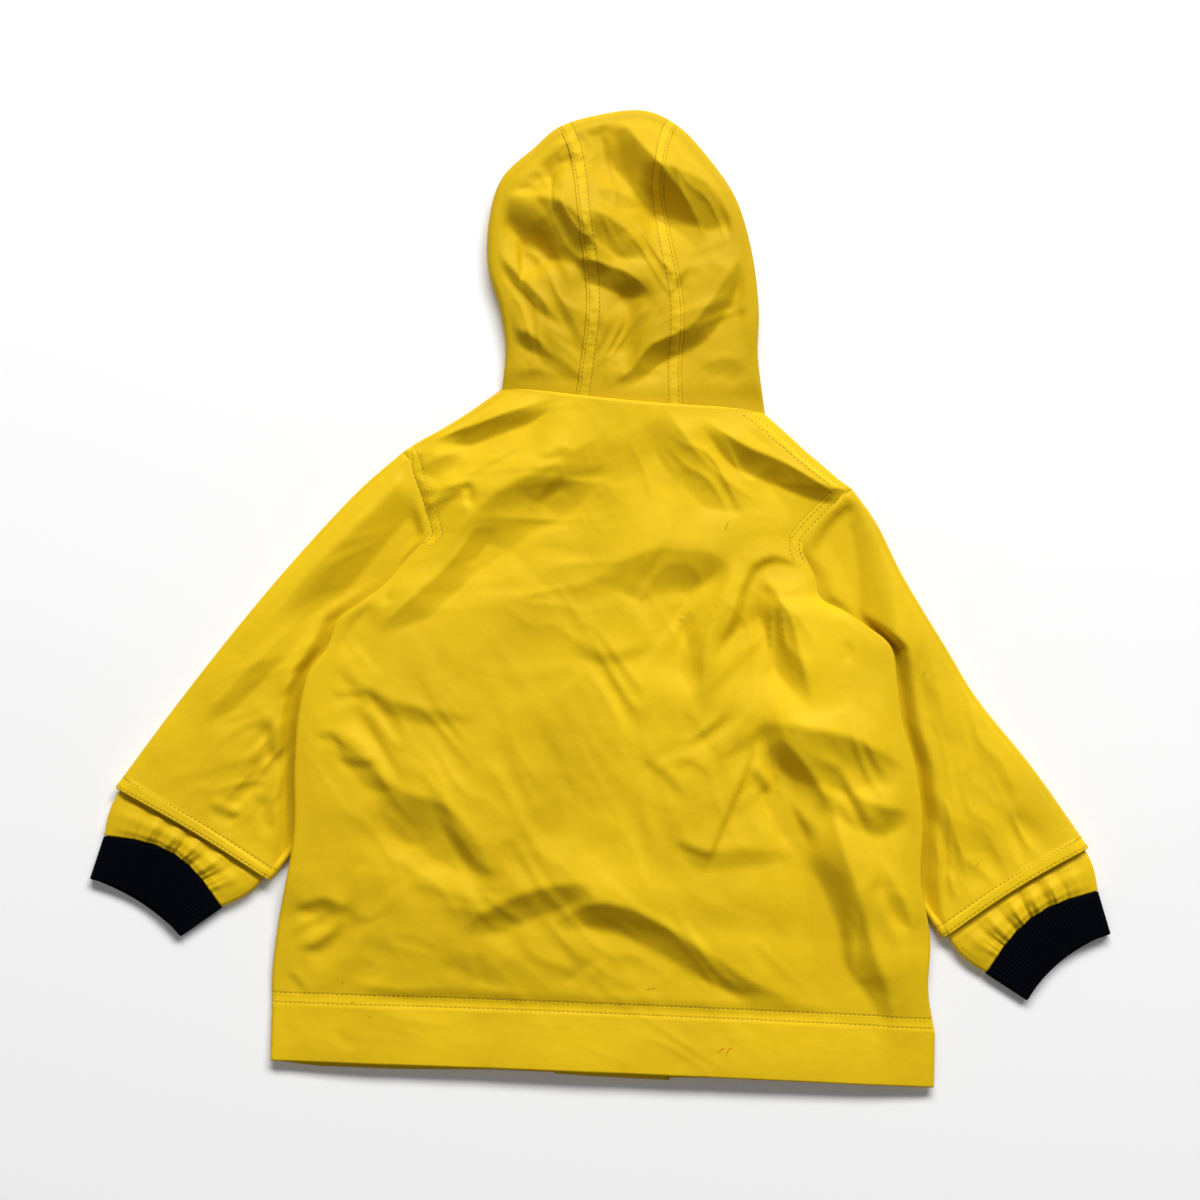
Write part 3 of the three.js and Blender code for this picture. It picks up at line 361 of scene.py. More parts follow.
# Where the fronts end at the neck, and their side edges below the armholes
NECK_FRONT = ((-77, 134), (4, 103), (6, 103), (87, 129))
FRONT_SIDE = {
    "left": ((-128, -82), (-206, -203), (-208, -250), (-208, -318)),
    "right": ((124, -79), (219, -222), (219, -262), (221, -309)),
}
# From side to side, the placket and the underlap, their lower end, and the underlap's top and height
PLACKET = (-24, 40)
UNDERLAP = (-8, 52)
STRIP_END = -317
UNDERLAP_TOP = 99
UNDERLAP_LEVEL = 2.6
# The fronts: their gap to the placket, how far they stay inside the back's edges, their height over the
# floor beside the cloth's own, the highest crease, the share of the width over which the creases grow
# at each side, and the length of the fitted lower end
FRONT_GAP = 0.5
FRONT_INSET = 1
FRONT_LIFT = 0.1
FRONT_CREASE = 2
FRONT_FADE = 0.125
FRONT_END = 12
# The placket's own cloth and its height over the floor beside the cloth of the fronts
PLACKET_CLOTH = 1.0
PLACKET_LIFT = 0.2
# The lower edge of the fronts, from side to side
FRONT_HEM = ((-208, -318), (-179, -320), (-121, -319), (-63, -316), (-24, -316), (40, -316), (221, -309))

# Rows of stitches: their distances from the sewn edge, and how far the back's hem is turned up
STITCH_ROWS = (1.9, 8.3)
HEM_DEPTH = 36.6
# Turned-up cloth stands this much higher; on the back the step starts this far above the hem's line, and
# is this long
HEM_STEP = 0.6
HEM_STEP_RUN = (0.6, 2.4)
# How deep the folds are against their tables, and how much deeper again on the hood
FOLD_DEPTH = 1.55
HOOD_DEPTH = 1.2
# A fold fades in over this share of its length at each end, and a fall narrows there to this share
FADE_SHARE = 0.3
FALL_END_WIDTH = 0.35
# A fall's profile: how far down it is at its line, and the powers of its slope and of its way back
FALL_START = 0.05
FALL_SLOPE = 1.2
FALL_RETURN = 1.5
# How far a ridge reaches, in widths
RIDGE_REACH = 2.6
# Wrinkles: their length in spacings, two sways as height and length in spacings, and their profile
WRINKLE_LENGTH = 4
WIDE_SWAY = (0.9, 3.1)
SMALL_SWAY = (0.4, 1.0)
WRINKLE_TOP = 0.7
WRINKLE_ROUND = 0.8
# Unevenness: how many times smaller each part is than the first, and its share of the height
UNEVENNESS = ((1.0, 1.0), (2.1, 0.42), (4.3, 0.16))
# Height and size of the unevenness on each piece
BACK_UNEVEN = (0.8, 62)
SLEEVE_UNEVEN = (0.5, 48)
HOOD_UNEVEN = (0.6, 50)
FRONT_UNEVEN = (1.1, 70)
# The small sway also changes across the wrinkles, by a radian in this many millimetres
SWAY_DRIFT = 9
# Unevenness runs a little slantwise, and its smaller parts stand up from this level
UNEVEN_SLANT = (0.35, -0.3)
UNEVEN_LEVEL = 0.6
# The squares of random numbers for wrinkles and unevenness, and shifts that keep the places in them
# above 0
FIELD = (64, 64)
WRINKLE_SHIFT = 50
UNEVEN_SHIFT = 1000
# Puckers between the two stitch rows of a seam: the strip's middle and half width, its rise, and the
# height and length of a pucker
PUCKER_STRIP = (5.2, 2.6)
PUCKER_RISE = 0.45
PUCKER = 0.24
PUCKER_LENGTH = 5.6
# Slow and quick changes of the puckers' pace: how large they are, and their radians for a millimetre.
# The puckers on the second seam of the gusset are shifted by this length.
PUCKER_UNEVEN = ((2, 0.31), (1.3, 0.83))
PUCKER_SHIFT = 9
# Points on a seam line, how far round it is looked for, and the distance that stands for no seam. The
# hem's seam ends this far past its edges: below the fold line and above the sewn edge.
SEAM_POINTS = 120
SEAM_REACH = 11
FAR = 99.0
BELOW_HEM = 1
ABOVE_EDGE = 2
# Stitches: their pitch, their length, width and height, and how far they lie above the cloth's middle
STITCH_PITCH = 3.1
STITCH_SIZE = (2.2, 0.5, 0.34)
STITCH_LIFT = 0.1
# How far ahead a stitch reads its direction, and the steps by which rows run on past the top of the cloth
STITCH_AHEAD = 0.8
STITCH_PAST = {"hem": 2, "armhole": 4, "gusset": 8}
# The shoulder seam runs slantwise to the rows of the back, so its distances are longer along them
SHOULDER_SLANT = 1.3
# How much darker the hood's cloth is painted than the rest: painted shade, since the hood mostly slopes away
# from the light
HOOD_PAINTED_SHADE = 0.34

# The roll of the neck edge: its radius, its turn in degrees and its steps, how full the turn is towards
# the sides, and how far each step lies from the last
NECK_CURL = (2.0, 105.0, 6)
NECK_CURL_FULL = 0.6
NECK_CURL_SPREAD = 0.06
# Steps of the grids; those across a flattened tube are for each edge, the top and the underside. The
# step of a sleeve's hem takes twice this share of the sleeve's length.
SLEEVE_RINGS = 96
SLEEVE_HEM_RINGS = 7
SLEEVE_HEM_GAP = 0.0015
SLEEVE_ACROSS = (10, 84, 20)
CUFF_ACROSS = (10, 150, 24)
CUFF_RINGS = 34
RIB_ACROSS = (24, 272, 180)
RIB_RINGS = 16
# Ribs on each face of the knit, and their height
RIB_COUNT = 34
RIB_RELIEF = 0.55
HOOD_SIDE_STEPS = 96
HOOD_TOP_COLUMNS = 44
HOOD_WRAP_STEPS = 12
HOOD_FLOOR_COLUMNS = 12
GUSSET_STEPS = 150
GUSSET_COLUMNS = 60
# From this share of its length the gusset swells out to the top of the hood
GUSSET_BULGE_FROM = 0.6
# How far a hood side reaches under the gusset, where it starts to go down, and how far it stays clear of
# the seam line; near its top, from this share of its length, it turns towards the neck
TUCK = 3.0
TUCK_START = 0.3
SIDE_CLEAR = 0.2
TUCK_TURN_FROM = 0.8
FRONT_ROWS = 120
FRONT_COLUMNS = 60

# Colours from dark to light
YELLOW_SHADES = ((0.585, 0.372, 0.003, 1), (0.83, 0.545, 0.006, 1))
NAVY_SHADES = ((0.0003, 0.0005, 0.0014, 1), (0.0014, 0.0018, 0.005, 1))
THREAD_SHADES = ((0.30, 0.19, 0.004, 1), (0.44, 0.28, 0.006, 1))
SNAP_SHADES = ((0.60, 0.40, 0.012, 1), (0.66, 0.44, 0.014, 1))
PAPER = (0.99, 0.99, 0.99, 1)

# The floor's size and how far it lies under the coat, in metres
FLOOR_SIZE = 8
FLOOR_DROP = 0.0004
# The photo's frame over the coat: its width in millimetres, its middle and its turn against the coat
FRAME_WIDTH = 792.0
AIM = (-10.2, -3.5)
ROLL = 3.0
LENS = 70.0
SENSOR = 36.0
# Light from all sides, and the lamps: name, place and size in metres, and power
AMBIENT = 0.13
LIGHTS = (
    ("key", (0.6, 3.4, 3.0), (4.2, 1.2), 288.0),
    ("fill", (-1.8, -1.2, 3.0), (2.0, 2.0), 10.0),
)


def sized(points):
    """Points of a table at the size of the solid model."""
    return np.array(points, float) * (WIDER, LONGER)


def unit(vectors):
    """Vectors with a length of 1."""
    return vectors / np.linalg.norm(vectors, axis=-1, keepdims=True)


class Line:
    """A smooth plan line through points, as the solid model draws it."""

    def __init__(self, points, steps=24):
        p = sized(points)
        p = np.vstack([2 * p[0] - p[1], p, 2 * p[-1] - p[-2]])
        t = np.linspace(0, 1, steps, endpoint=False)[:, None]
        dense = []
        for a, b, c, d in zip(p[:-3], p[1:-2], p[2:-1], p[3:]):
            before, here, after = (max(np.linalg.norm(v) ** 0.5, 1e-6) for v in (b - a, c - b, d - c))
            start = ((b - a) / before - (c - a) / (before + here) + (c - b) / here) * here
            end = ((c - b) / here - (d - b) / (here + after) + (d - c) / after) * here
            rest = 3 * (c - b) - 2 * start - end
            dense.append(b + start * t + rest * t ** 2 + (2 * (b - c) + start + end) * t ** 3)
        self.dense = np.vstack(dense + [p[-2:-1]])
        gaps = np.linalg.norm(np.diff(self.dense, axis=0), axis=1)
        self.lengths = np.concatenate([[0], np.cumsum(gaps)])
        self.length = self.lengths[-1]
        self.index = np.linspace(0, 1, len(self.dense))

    def _read(self, at, scale):
        return np.stack([np.interp(at, scale, self.dense[:, k]) for k in (0, 1)], axis=-1)

    def at(self, share):
        """The point at a share of the line's length."""
        return self._read(np.asarray(share) * self.length, self.lengths)

    def at_index(self, share):
        """The point at a share of the line's table."""
        return self._read(share, self.index)

    def tangent_at_index(self, share, step=0.002):
        """The direction of the line at a share of its table."""
        return unit(self.at_index(np.minimum(share + step, 1)) - self.at_index(np.maximum(share - step, 0)))


def smooth(t):
    """From 0 to 1 with a soft start and a soft end."""
    t = np.clip(t, 0, 1)
    return t * t * (3 - 2 * t)


def mix(a, b, t):
    """A value between a (t is 0) and b (t is 1)."""
    return a + (b - a) * t


def column(rows, at, number):
    """Reads one column of a table at places between its rows."""
    keys = [row[0] for row in rows]
    at = np.clip(at, keys[0], keys[-1])
    after = np.clip(np.searchsorted(keys, at), 1, len(keys) - 1)
    keys = np.array(keys)
    values = np.array([row[number] for row in rows], float)
    share = (at - keys[after - 1]) / (keys[after] - keys[after - 1])
    return mix(values[after - 1], values[after], smooth(share))


def fold_height(rows, x, y):
    """The height that a table of folds adds at places x, y."""
    total = np.zeros_like(x)
    for kind, line, height, left, right in rows:
        points = Line(line, 8).dense
        reach = left + right if kind == "fall" else RIDGE_REACH * max(left, right)
        low, high = points.min(axis=0) - reach, points.max(axis=0) + reach
        near = (x > low[0]) & (x < high[0]) & (y > low[1]) & (y < high[1])
        if not near.any():
            continue
        px, py = x[near][:, None], y[near][:, None]
        a, d = points[:-1], np.diff(points, axis=0)
        t = np.clip(((px - a[:, 0]) * d[:, 0] + (py - a[:, 1]) * d[:, 1]) / (d ** 2).sum(axis=1), 0, 1)
        distance = np.hypot(px - a[:, 0] - d[:, 0] * t, py - a[:, 1] - d[:, 1] * t)
        nearest = distance.argmin(axis=1)
        pick = (np.arange(len(nearest)), nearest)
        from_a = np.column_stack([px, py]) - a[nearest]
        side = np.sign(d[nearest, 0] * from_a[:, 1] - d[nearest, 1] * from_a[:, 0])
        along = (nearest + t[pick]) / len(d)
        fade = smooth(np.minimum(along, 1 - along) / FADE_SHARE)
        if kind == "fall":
            right_of = -side * distance[pick]
            width = right * mix(FALL_END_WIDTH, 1, fade)
            outside = np.clip(np.maximum(-right_of, right_of - width) / left, 0, 1)
            fallen = 1 - (1 - np.clip(right_of / width + FALL_START, 0, 1)) ** FALL_SLOPE
            shape = (0.5 - fallen) * (1 - outside) ** FALL_RETURN
        else:
            shape = np.exp(-(distance[pick] / np.where(side > 0, left, right)) ** 2)
        total[near] += FOLD_DEPTH * height * fade * shape
    return total


def hills(x, y, field):
    """Soft random hills one unit apart, from a square field of random numbers."""
    size = len(field)
    i, j = np.floor(x).astype(int), np.floor(y).astype(int)
    s, t = smooth(x - i), smooth(y - j)
    low = mix(field[i % size, j % size], field[(i + 1) % size, j % size], s)
    high = mix(field[i % size, (j + 1) % size], field[(i + 1) % size, (j + 1) % size], s)
    return mix(low, high, t)


def streaks(rows, x, y):
    """Groups of uneven wrinkles that run one way: place, reach, direction in degrees, height and spacing."""
    rng = np.random.default_rng(SEED + 1)
    total = np.zeros_like(x)
    for (at_x, at_y), reach, direction, height, spacing in rows:
        turn = math.radians(direction)
        dx, dy = x - at_x * WIDER, y - at_y * LONGER
        along = dx * math.cos(turn) + dy * math.sin(turn)
        across = dy * math.cos(turn) - dx * math.sin(turn)
        sway = WIDE_SWAY[0] * np.sin(along / (WIDE_SWAY[1] * spacing))
        sway = sway + SMALL_SWAY[0] * np.sin(along / (SMALL_SWAY[1] * spacing) + across / SWAY_DRIFT)
        across = across + spacing * sway
        u, v = along / (WRINKLE_LENGTH * spacing) + WRINKLE_SHIFT, across / spacing + WRINKLE_SHIFT
        wave = hills(u, v, rng.normal(0, 1, FIELD))
        near = np.exp(-(dx ** 2 + dy ** 2) / reach ** 2)
        total += FOLD_DEPTH * near * height * (WRINKLE_TOP - np.abs(wave) ** WRINKLE_ROUND)
    return total


def crumple(x, y, height, length):
    """A quiet unevenness of cloth: soft random hills of a size, and smaller ones over them."""
    rng = np.random.default_rng(SEED)
    total = np.zeros_like(x)
    for part, share in UNEVENNESS:
        size = length / part
        u, v = x + UNEVEN_SHIFT + UNEVEN_SLANT[0] * y, y + UNEVEN_SHIFT + UNEVEN_SLANT[1] * x
        uneven = hills(u / size, v / size, rng.normal(0, 1, FIELD))
        total += share * (uneven if size == length else UNEVEN_LEVEL - np.abs(uneven))
    return total * height


def linked(name, data):
    """A new object in the scene."""
    made = bpy.data.objects.new(name, data)
    bpy.context.collection.objects.link(made)
    return made


def smooth_object(name, bm, material):
    """A smooth-shaded object from a finished bmesh."""
    mesh = bpy.data.meshes.new(name)
    bm.to_mesh(mesh)
    bm.free()
    mesh.shade_smooth()
    mesh.materials.append(material)
    return linked(name, mesh)


def sheet_object(name, places, material, thickness=CLOTH, closed=False, seam=None):
    """A cloth object from a grid of places in millimetres; a closed one joins its last column to its first.

    seam holds each place's distance from a stitched edge, which the material reads from its own UV map.
    """
    if closed:
        places = np.concatenate([places, places[:, :1]], axis=1)
        seam = None if seam is None else np.concatenate([seam, seam[:, :1]], axis=1)
    rows, columns = places.shape[:2]
    bm = bmesh.new()
    bmesh.ops.create_grid(bm, x_segments=columns - 1, y_segments=rows - 1, size=1)
    cloth_uv = bm.loops.layers.uv.new("cloth")
    seam_uv = bm.loops.layers.uv.new("seam")
    width = np.linalg.norm(np.diff(places[rows // 2], axis=0), axis=1).sum()
    length = np.linalg.norm(np.diff(places[:, columns // 2], axis=0), axis=1).sum()
    grid = {}
    for vertex in bm.verts:
        column_at = round((vertex.co.x + 1) / 2 * (columns - 1))
        row_at = round((vertex.co.y + 1) / 2 * (rows - 1))
        grid[vertex.index] = (row_at, column_at)
        vertex.co = places[row_at, column_at] * MM
    for face in bm.faces:
        for loop in face.loops:
            row_at, column_at = grid[loop.vert.index]
            loop[cloth_uv].uv = (column_at / (columns - 1) * width * MM, row_at / (rows - 1) * length * MM)
            distance = FAR if seam is None else seam[row_at, column_at]
            loop[seam_uv].uv = (distance * MM, 0)
    if closed:
        bmesh.ops.remove_doubles(bm, verts=bm.verts, dist=1e-7)
    bm.normal_update()
    faces = np.array([(f.calc_center_median().z, f.normal.z, f.calc_area()) for f in bm.faces])
    level = (faces[:, 0] * faces[:, 2]).sum() / faces[:, 2].sum() if closed else -1
    if ((faces[:, 0] - level) * faces[:, 1] * faces[:, 2]).sum() < 0:
        bmesh.ops.reverse_faces(bm, faces=bm.faces)
    piece = smooth_object(name, bm, material)
    wall = piece.modifiers.new("wall", "SOLIDIFY")
    wall.thickness = thickness * MM
    wall.offset = -1
    return piece


def wear(piece, slot, *nodes):
    """Puts a piece on the coat's body in place of its solids; slot is not used."""
    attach(piece, "root")
    if nodes:
        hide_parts(*nodes)
    return piece


def cloth_point(places, row, col):
    """A place on a grid between its points."""
    rows, columns = places.shape[:2]
    r0 = np.clip(np.floor(row).astype(int), 0, rows - 2)
    c0 = np.clip(np.floor(col).astype(int), 0, columns - 2)
    fr, fc = (row - r0)[..., None], (col - c0)[..., None]
    top = mix(places[r0, c0], places[r0, c0 + 1], fc)
    return mix(top, mix(places[r0 + 1, c0], places[r0 + 1, c0 + 1], fc), fr)


# Materials

def coat_group(name, inputs, outputs):
    """An empty shader node group with named inputs (name, value) and outputs (name, socket type)."""
    group = bpy.data.node_groups.new(name, "ShaderNodeTree")
    for label, value in inputs:
        socket = group.interface.new_socket(label, in_out="INPUT", socket_type="NodeSocketFloat")
        socket.default_value = value
    for label, kind in outputs:
        group.interface.new_socket(label, in_out="OUTPUT", socket_type=kind)
    return group, group.nodes.new("NodeGroupInput"), group.nodes.new("NodeGroupOutput")


def node(tree, kind, settings=None, **sockets):
    """Adds a node, sets its properties and its input values or links."""
    made = tree.nodes.new(kind)
    for key, value in (settings or {}).items():
        setattr(made, key, value)
    for key, value in sockets.items():
        socket = made.inputs[int(key[1:])] if key[1:].isdigit() else made.inputs[key.replace("_", " ")]
        if isinstance(value, bpy.types.NodeSocket):
            tree.links.new(value, socket)
        else:
            socket.default_value = value
    return made


def maths(tree, operation, a, b=0.0):
    """The result of one calculation with sockets or numbers."""
    return node(tree, "ShaderNodeMath", {"operation": operation}, i0=a, i1=b).outputs[0]


def ramp(tree, factor, low, high, colours):
    """A colour between two, by a factor from low to high."""
    made = node(tree, "ShaderNodeValToRGB", None, Fac=factor)
    for element, at, colour in zip(made.color_ramp.elements, (low, high), colours):
        element.position = at
        element.color = colour
    return made.outputs["Color"]


def noise(tree, scale, detail, **more):
    """Random unevenness in the object's own space."""
    place = node(tree, "ShaderNodeTexCoord").outputs["Object"]
    made = node(tree, "ShaderNodeTexNoise", None, Vector=place, Scale=scale, Detail=detail, **more)
    return made.outputs["Fac"]


def stitch_rows_group():
    """Masks of the grooves of two rows of stitches and of the taut strip up to the second, by distance from
    the edge; the cloth paints shade into the grooves and a highlight onto the strip.
    """
    group, entry, result = coat_group(
        "Stitch grooves", [("First row", 0.0019), ("Second row", 0.0083), ("Width", 0.0009)],
        [("Groove relief and painted shade", "NodeSocketFloat"), ("Strip", "NodeSocketFloat")])
    seam = node(group, "ShaderNodeUVMap", {"uv_map": "seam"}).outputs["UV"]
    distance = node(group, "ShaderNodeSeparateXYZ", None, Vector=seam).outputs["X"]
    grooves = []
    for row in ("First row", "Second row"):
        off = maths(group, "ABSOLUTE", maths(group, "SUBTRACT", distance, entry.outputs[row]))
        near = maths(group, "SUBTRACT", 1.0, maths(group, "DIVIDE", off, entry.outputs["Width"]))
        grooves.append(maths(group, "MAXIMUM", near, 0.0))
    group.links.new(maths(group, "MAXIMUM", *grooves), result.inputs["Groove relief and painted shade"])
    inside = maths(group, "LESS_THAN", distance, entry.outputs["Second row"])
    past_edge = maths(group, "GREATER_THAN", distance, -0.0005)
    group.links.new(maths(group, "MULTIPLY", inside, past_edge), result.inputs["Strip"])
    return group


def coated_cloth_group():
    """Tone, roughness and relief of coated cloth: soft mottling, a fine grain and faint scuffs."""
    group, entry, result = coat_group(
        "Coated cloth", [("Mottle", 1.0), ("Grain", 1.0)],
        [("Tone", "NodeSocketFloat"), ("Roughness", "NodeSocketFloat"), ("Relief", "NodeSocketFloat")])
    broad = noise(group, 11.0, 4.0, Roughness=0.55)
    fine = noise(group, 950.0, 2.0)
    scuff = noise(group, 46.0, 5.0, Roughness=0.62)
    crease = noise(group, 38.0, 3.5, Roughness=0.5, Distortion=0.5)
    tone = maths(group, "SUBTRACT", broad, 0.5)
    group.links.new(maths(group, "MULTIPLY", tone, entry.outputs["Mottle"]), result.inputs["Tone"])
    rough = node(group, "ShaderNodeMapRange", None, Value=scuff, From_Min=0.35, From_Max=0.7,
                 To_Min=0.56, To_Max=0.72)
    group.links.new(rough.outputs["Result"], result.inputs["Roughness"])
    grain = maths(group, "MULTIPLY", maths(group, "MULTIPLY", fine, 0.05), entry.outputs["Grain"])
    relief = maths(group, "ADD", grain, maths(group, "MULTIPLY", crease, 1.5))
    group.links.new(relief, result.inputs["Relief"])
    return group


def mark_group():
    """The mask of one small mark: a thin uneven ellipse on the top of the cloth, at a place and a turn."""
    group, entry, result = coat_group(
        "Small mark",
        [("Place X", 0.0), ("Place Y", 0.0), ("Length", 0.006), ("Width", 0.001), ("Turn", 0.0)],
        [("Mask", "NodeSocketFloat")])
    place = node(group, "ShaderNodeTexCoord").outputs["Object"]
    shake = noise(group, 420.0, 3.0)
    parts = node(group, "ShaderNodeSeparateXYZ", None, Vector=place).outputs
    dx = maths(group, "SUBTRACT", parts["X"], entry.outputs["Place X"])
    dy = maths(group, "SUBTRACT", parts["Y"], entry.outputs["Place Y"])
    cosine = maths(group, "COSINE", entry.outputs["Turn"])
    sine = maths(group, "SINE", entry.outputs["Turn"])
    along = maths(group, "ADD", maths(group, "MULTIPLY", dx, cosine), maths(group, "MULTIPLY", dy, sine))
    side_dx, side_dy = maths(group, "MULTIPLY", dx, sine), maths(group, "MULTIPLY", dy, cosine)
    across = maths(group, "SUBTRACT", side_dy, side_dx)
    far_along = maths(group, "POWER", maths(group, "DIVIDE", along, entry.outputs["Length"]), 2.0)
    far_across = maths(group, "POWER", maths(group, "DIVIDE", across, entry.outputs["Width"]), 2.0)
    far = maths(group, "ADD", far_along, far_across)
    far = maths(group, "ADD", far, maths(group, "MULTIPLY", shake, 1.6))
    near = node(group, "ShaderNodeMapRange", None, Value=far, From_Min=1.5, From_Max=0.9)
    on_top = maths(group, "GREATER_THAN", parts["Z"], 0.004)
    group.links.new(maths(group, "MULTIPLY", near.outputs["Result"], on_top), result.inputs["Mask"])
    return group


def marked(tree, colour):
    """The cloth's colour with its few stains mixed in."""
    group = mark_group()
    for (x, y), length, width, turn, strength, stain in MARKS:
        mark = node(tree, "ShaderNodeGroup", {"node_tree": group}, Place_X=x * WIDER * MM,
                    Place_Y=y * LONGER * MM, Length=length * MM, Width=width * MM, Turn=math.radians(turn))
        share = maths(tree, "MULTIPLY", mark.outputs["Mask"], strength)
        mixed = node(tree, "ShaderNodeMix", {"data_type": "RGBA"})
        tree.links.new(share, mixed.inputs["Factor"])
        tree.links.new(colour, mixed.inputs[6])
        mixed.inputs[7].default_value = stain
        colour = mixed.outputs[2]
    return colour


def new_material(name):
    """A material with its node tree and its shader."""
    material = bpy.data.materials.new(name)
    material.use_nodes = True
    return material, material.node_tree, material.node_tree.nodes["Principled BSDF"]


def raise_surface(tree, shader, height, strength, distance):
    """Lets a height shape the shading."""
    bump = node(tree, "ShaderNodeBump", None, Strength=strength, Distance=distance, Height=height)
    tree.links.new(bump.outputs["Normal"], shader.inputs["Normal"])


def yellow_cloth(name, painted_shade):
    """The coated cloth; the second argument lowers its tone, which paints shade onto the hood's copy."""
    material, tree, shader = new_material(name)
    cloth = node(tree, "ShaderNodeGroup", {"node_tree": coated_cloth_group()})
    stitched = node(tree, "ShaderNodeGroup", {"node_tree": stitch_rows_group()})
    # A lower tone here is painted shade: the hood's copy of the cloth is a shaded copy
    tone = maths(tree, "ADD", cloth.outputs["Tone"], 0.5 - painted_shade)
    # The strip between the stitch rows is painted lighter: a painted highlight on the raised seam strip
    tone = maths(tree, "ADD", tone, maths(tree, "MULTIPLY", stitched.outputs["Strip"], 0.2))
    # The stitch grooves are painted darker: painted shade in the grooves, besides their sunk relief below
    tone = maths(tree, "SUBTRACT", tone, maths(tree, "MULTIPLY", stitched.outputs["Groove relief and painted shade"], 0.12))
    colour = ramp(tree, tone, 0.0, 0.72, YELLOW_SHADES)
    tree.links.new(marked(tree, colour), shader.inputs["Base Color"])
    tree.links.new(cloth.outputs["Roughness"], shader.inputs["Roughness"])
    sunk = maths(tree, "MULTIPLY", stitched.outputs["Groove relief and painted shade"], 0.35)
    height = maths(tree, "SUBTRACT", cloth.outputs["Relief"], sunk)
    raise_surface(tree, shader, height, 0.55, 0.001)
    shader.inputs["Specular IOR Level"].default_value = 0.14
    return material


def navy_rib():
    """The dark knit: fuzzy, with fine rows of loops across its ribs."""
    material, tree, shader = new_material("navy_rib")
    fuzz = noise(tree, 1400.0, 3.0)
    tree.links.new(ramp(tree, fuzz, 0.35, 0.75, NAVY_SHADES), shader.inputs["Base Color"])
    knit = node(tree, "ShaderNodeUVMap", {"uv_map": "cloth"}).outputs["UV"]
    rows = node(tree, "ShaderNodeTexWave", {"bands_direction": "Y"}, Vector=knit, Scale=190.0,
                Distortion=1.2, Detail=1.0)
    fluff = maths(tree, "MULTIPLY", fuzz, 0.5)
    height = maths(tree, "ADD", maths(tree, "MULTIPLY", rows.outputs["Fac"], 0.3), fluff)
    raise_surface(tree, shader, height, 0.6, 0.0006)
    shader.inputs["Roughness"].default_value = 0.95
    shader.inputs["Specular IOR Level"].default_value = 0.06
    return material


def plain_material(name, shades, roughness, scale):
    """A material with a quiet unevenness of colour."""
    material, tree, shader = new_material(name)
    uneven = noise(tree, scale, 3.0)
    tree.links.new(ramp(tree, uneven, 0.3, 0.7, shades), shader.inputs["Base Color"])
    raise_surface(tree, shader, uneven, 0.3, 0.0003)
    shader.inputs["Roughness"].default_value = roughness
    return material


YELLOW = yellow_cloth("yellow_cloth", 0.0)
# The hood's cloth: a darker, shaded copy of the yellow cloth, its darkness painted shade
HOOD_SHADED_YELLOW = yellow_cloth("hood_cloth_painted_shade", HOOD_PAINTED_SHADE)
NAVY = navy_rib()
THREAD = plain_material("yellow_thread", THREAD_SHADES, 0.7, 1500.0)
SNAP = plain_material("snap_plastic", SNAP_SHADES, 0.35, 300.0)


# Back

def sleeve_frame(sleeve, along):
    """The outer and inner edge points of a sleeve, and the way back towards the body."""
    a, b = Line(sleeve["outer"]).at(along), Line(sleeve["inner"]).at(along)
    d = unit(b - a)
    backwards = np.stack([-d[..., 1], d[..., 0]], axis=-1) * -sleeve["side"]
    return a, b, backwards


def armhole_point(sleeve, share):
    """A point on a sleeve's armhole, by its share of the way from the outer to the inner edge."""
    a, b, backwards = sleeve_frame(sleeve, 0.0)
    share = np.asarray(share)[..., None]
    return mix(a, b, share) + backwards * sleeve["bow"][0] * np.sin(math.pi * share)


def back_edge(edges, sleeve):
    """Every row's end point on one side of the back, from the neck to the hem."""
    points = []
    for part, steps in BACK_STEPS.items():
        shares = np.linspace(0, 1, steps + 1)[0 if part == "shoulder" else 1:]
        if part == "armhole":
            points.append(armhole_point(sleeve, shares * sleeve["shown"]))
        else:
            points.append(Line(edges[part]).at(shares))
    return np.vstack(points)


def back_seams(x, y):
    """How far places lie from the nearest armhole or right shoulder seam, and how far along it."""
    seams = [armhole_point(sleeve, np.linspace(0, sleeve["shown"], SEAM_POINTS))
             for sleeve in SLEEVES.values()]
    seams.append(Line(BACK_RIGHT["shoulder"]).at(np.linspace(0, 1, SEAM_POINTS)))
    distance, along = np.full(x.shape, FAR), np.zeros(x.shape)
    for seam in seams:
        low, high = seam.min(axis=0) - SEAM_REACH, seam.max(axis=0) + SEAM_REACH
        near = np.nonzero((x > low[0]) & (x < high[0]) & (y > low[1]) & (y < high[1]))[0]
        gaps = np.hypot(x[near, None] - seam[:, 0], y[near, None] - seam[:, 1])
        pitch = np.linalg.norm(seam[1] - seam[0])
        closer = gaps.min(axis=1) < distance[near]
        distance[near[closer]] = gaps.min(axis=1)[closer]
        along[near[closer]] = gaps.argmin(axis=1)[closer] * pitch
    return distance, along


def seam_puckers(distance, along):
    """The raised, puckered cloth between the two stitch rows of a seam."""
    middle, half = PUCKER_STRIP
    uneven = sum(size * np.sin(along * turns) for size, turns in PUCKER_UNEVEN)
    waves = np.sin(along * 2 * math.pi / PUCKER_LENGTH + uneven)
    return np.exp(-((distance - middle) / half) ** 2) * (PUCKER_RISE + PUCKER * waves)


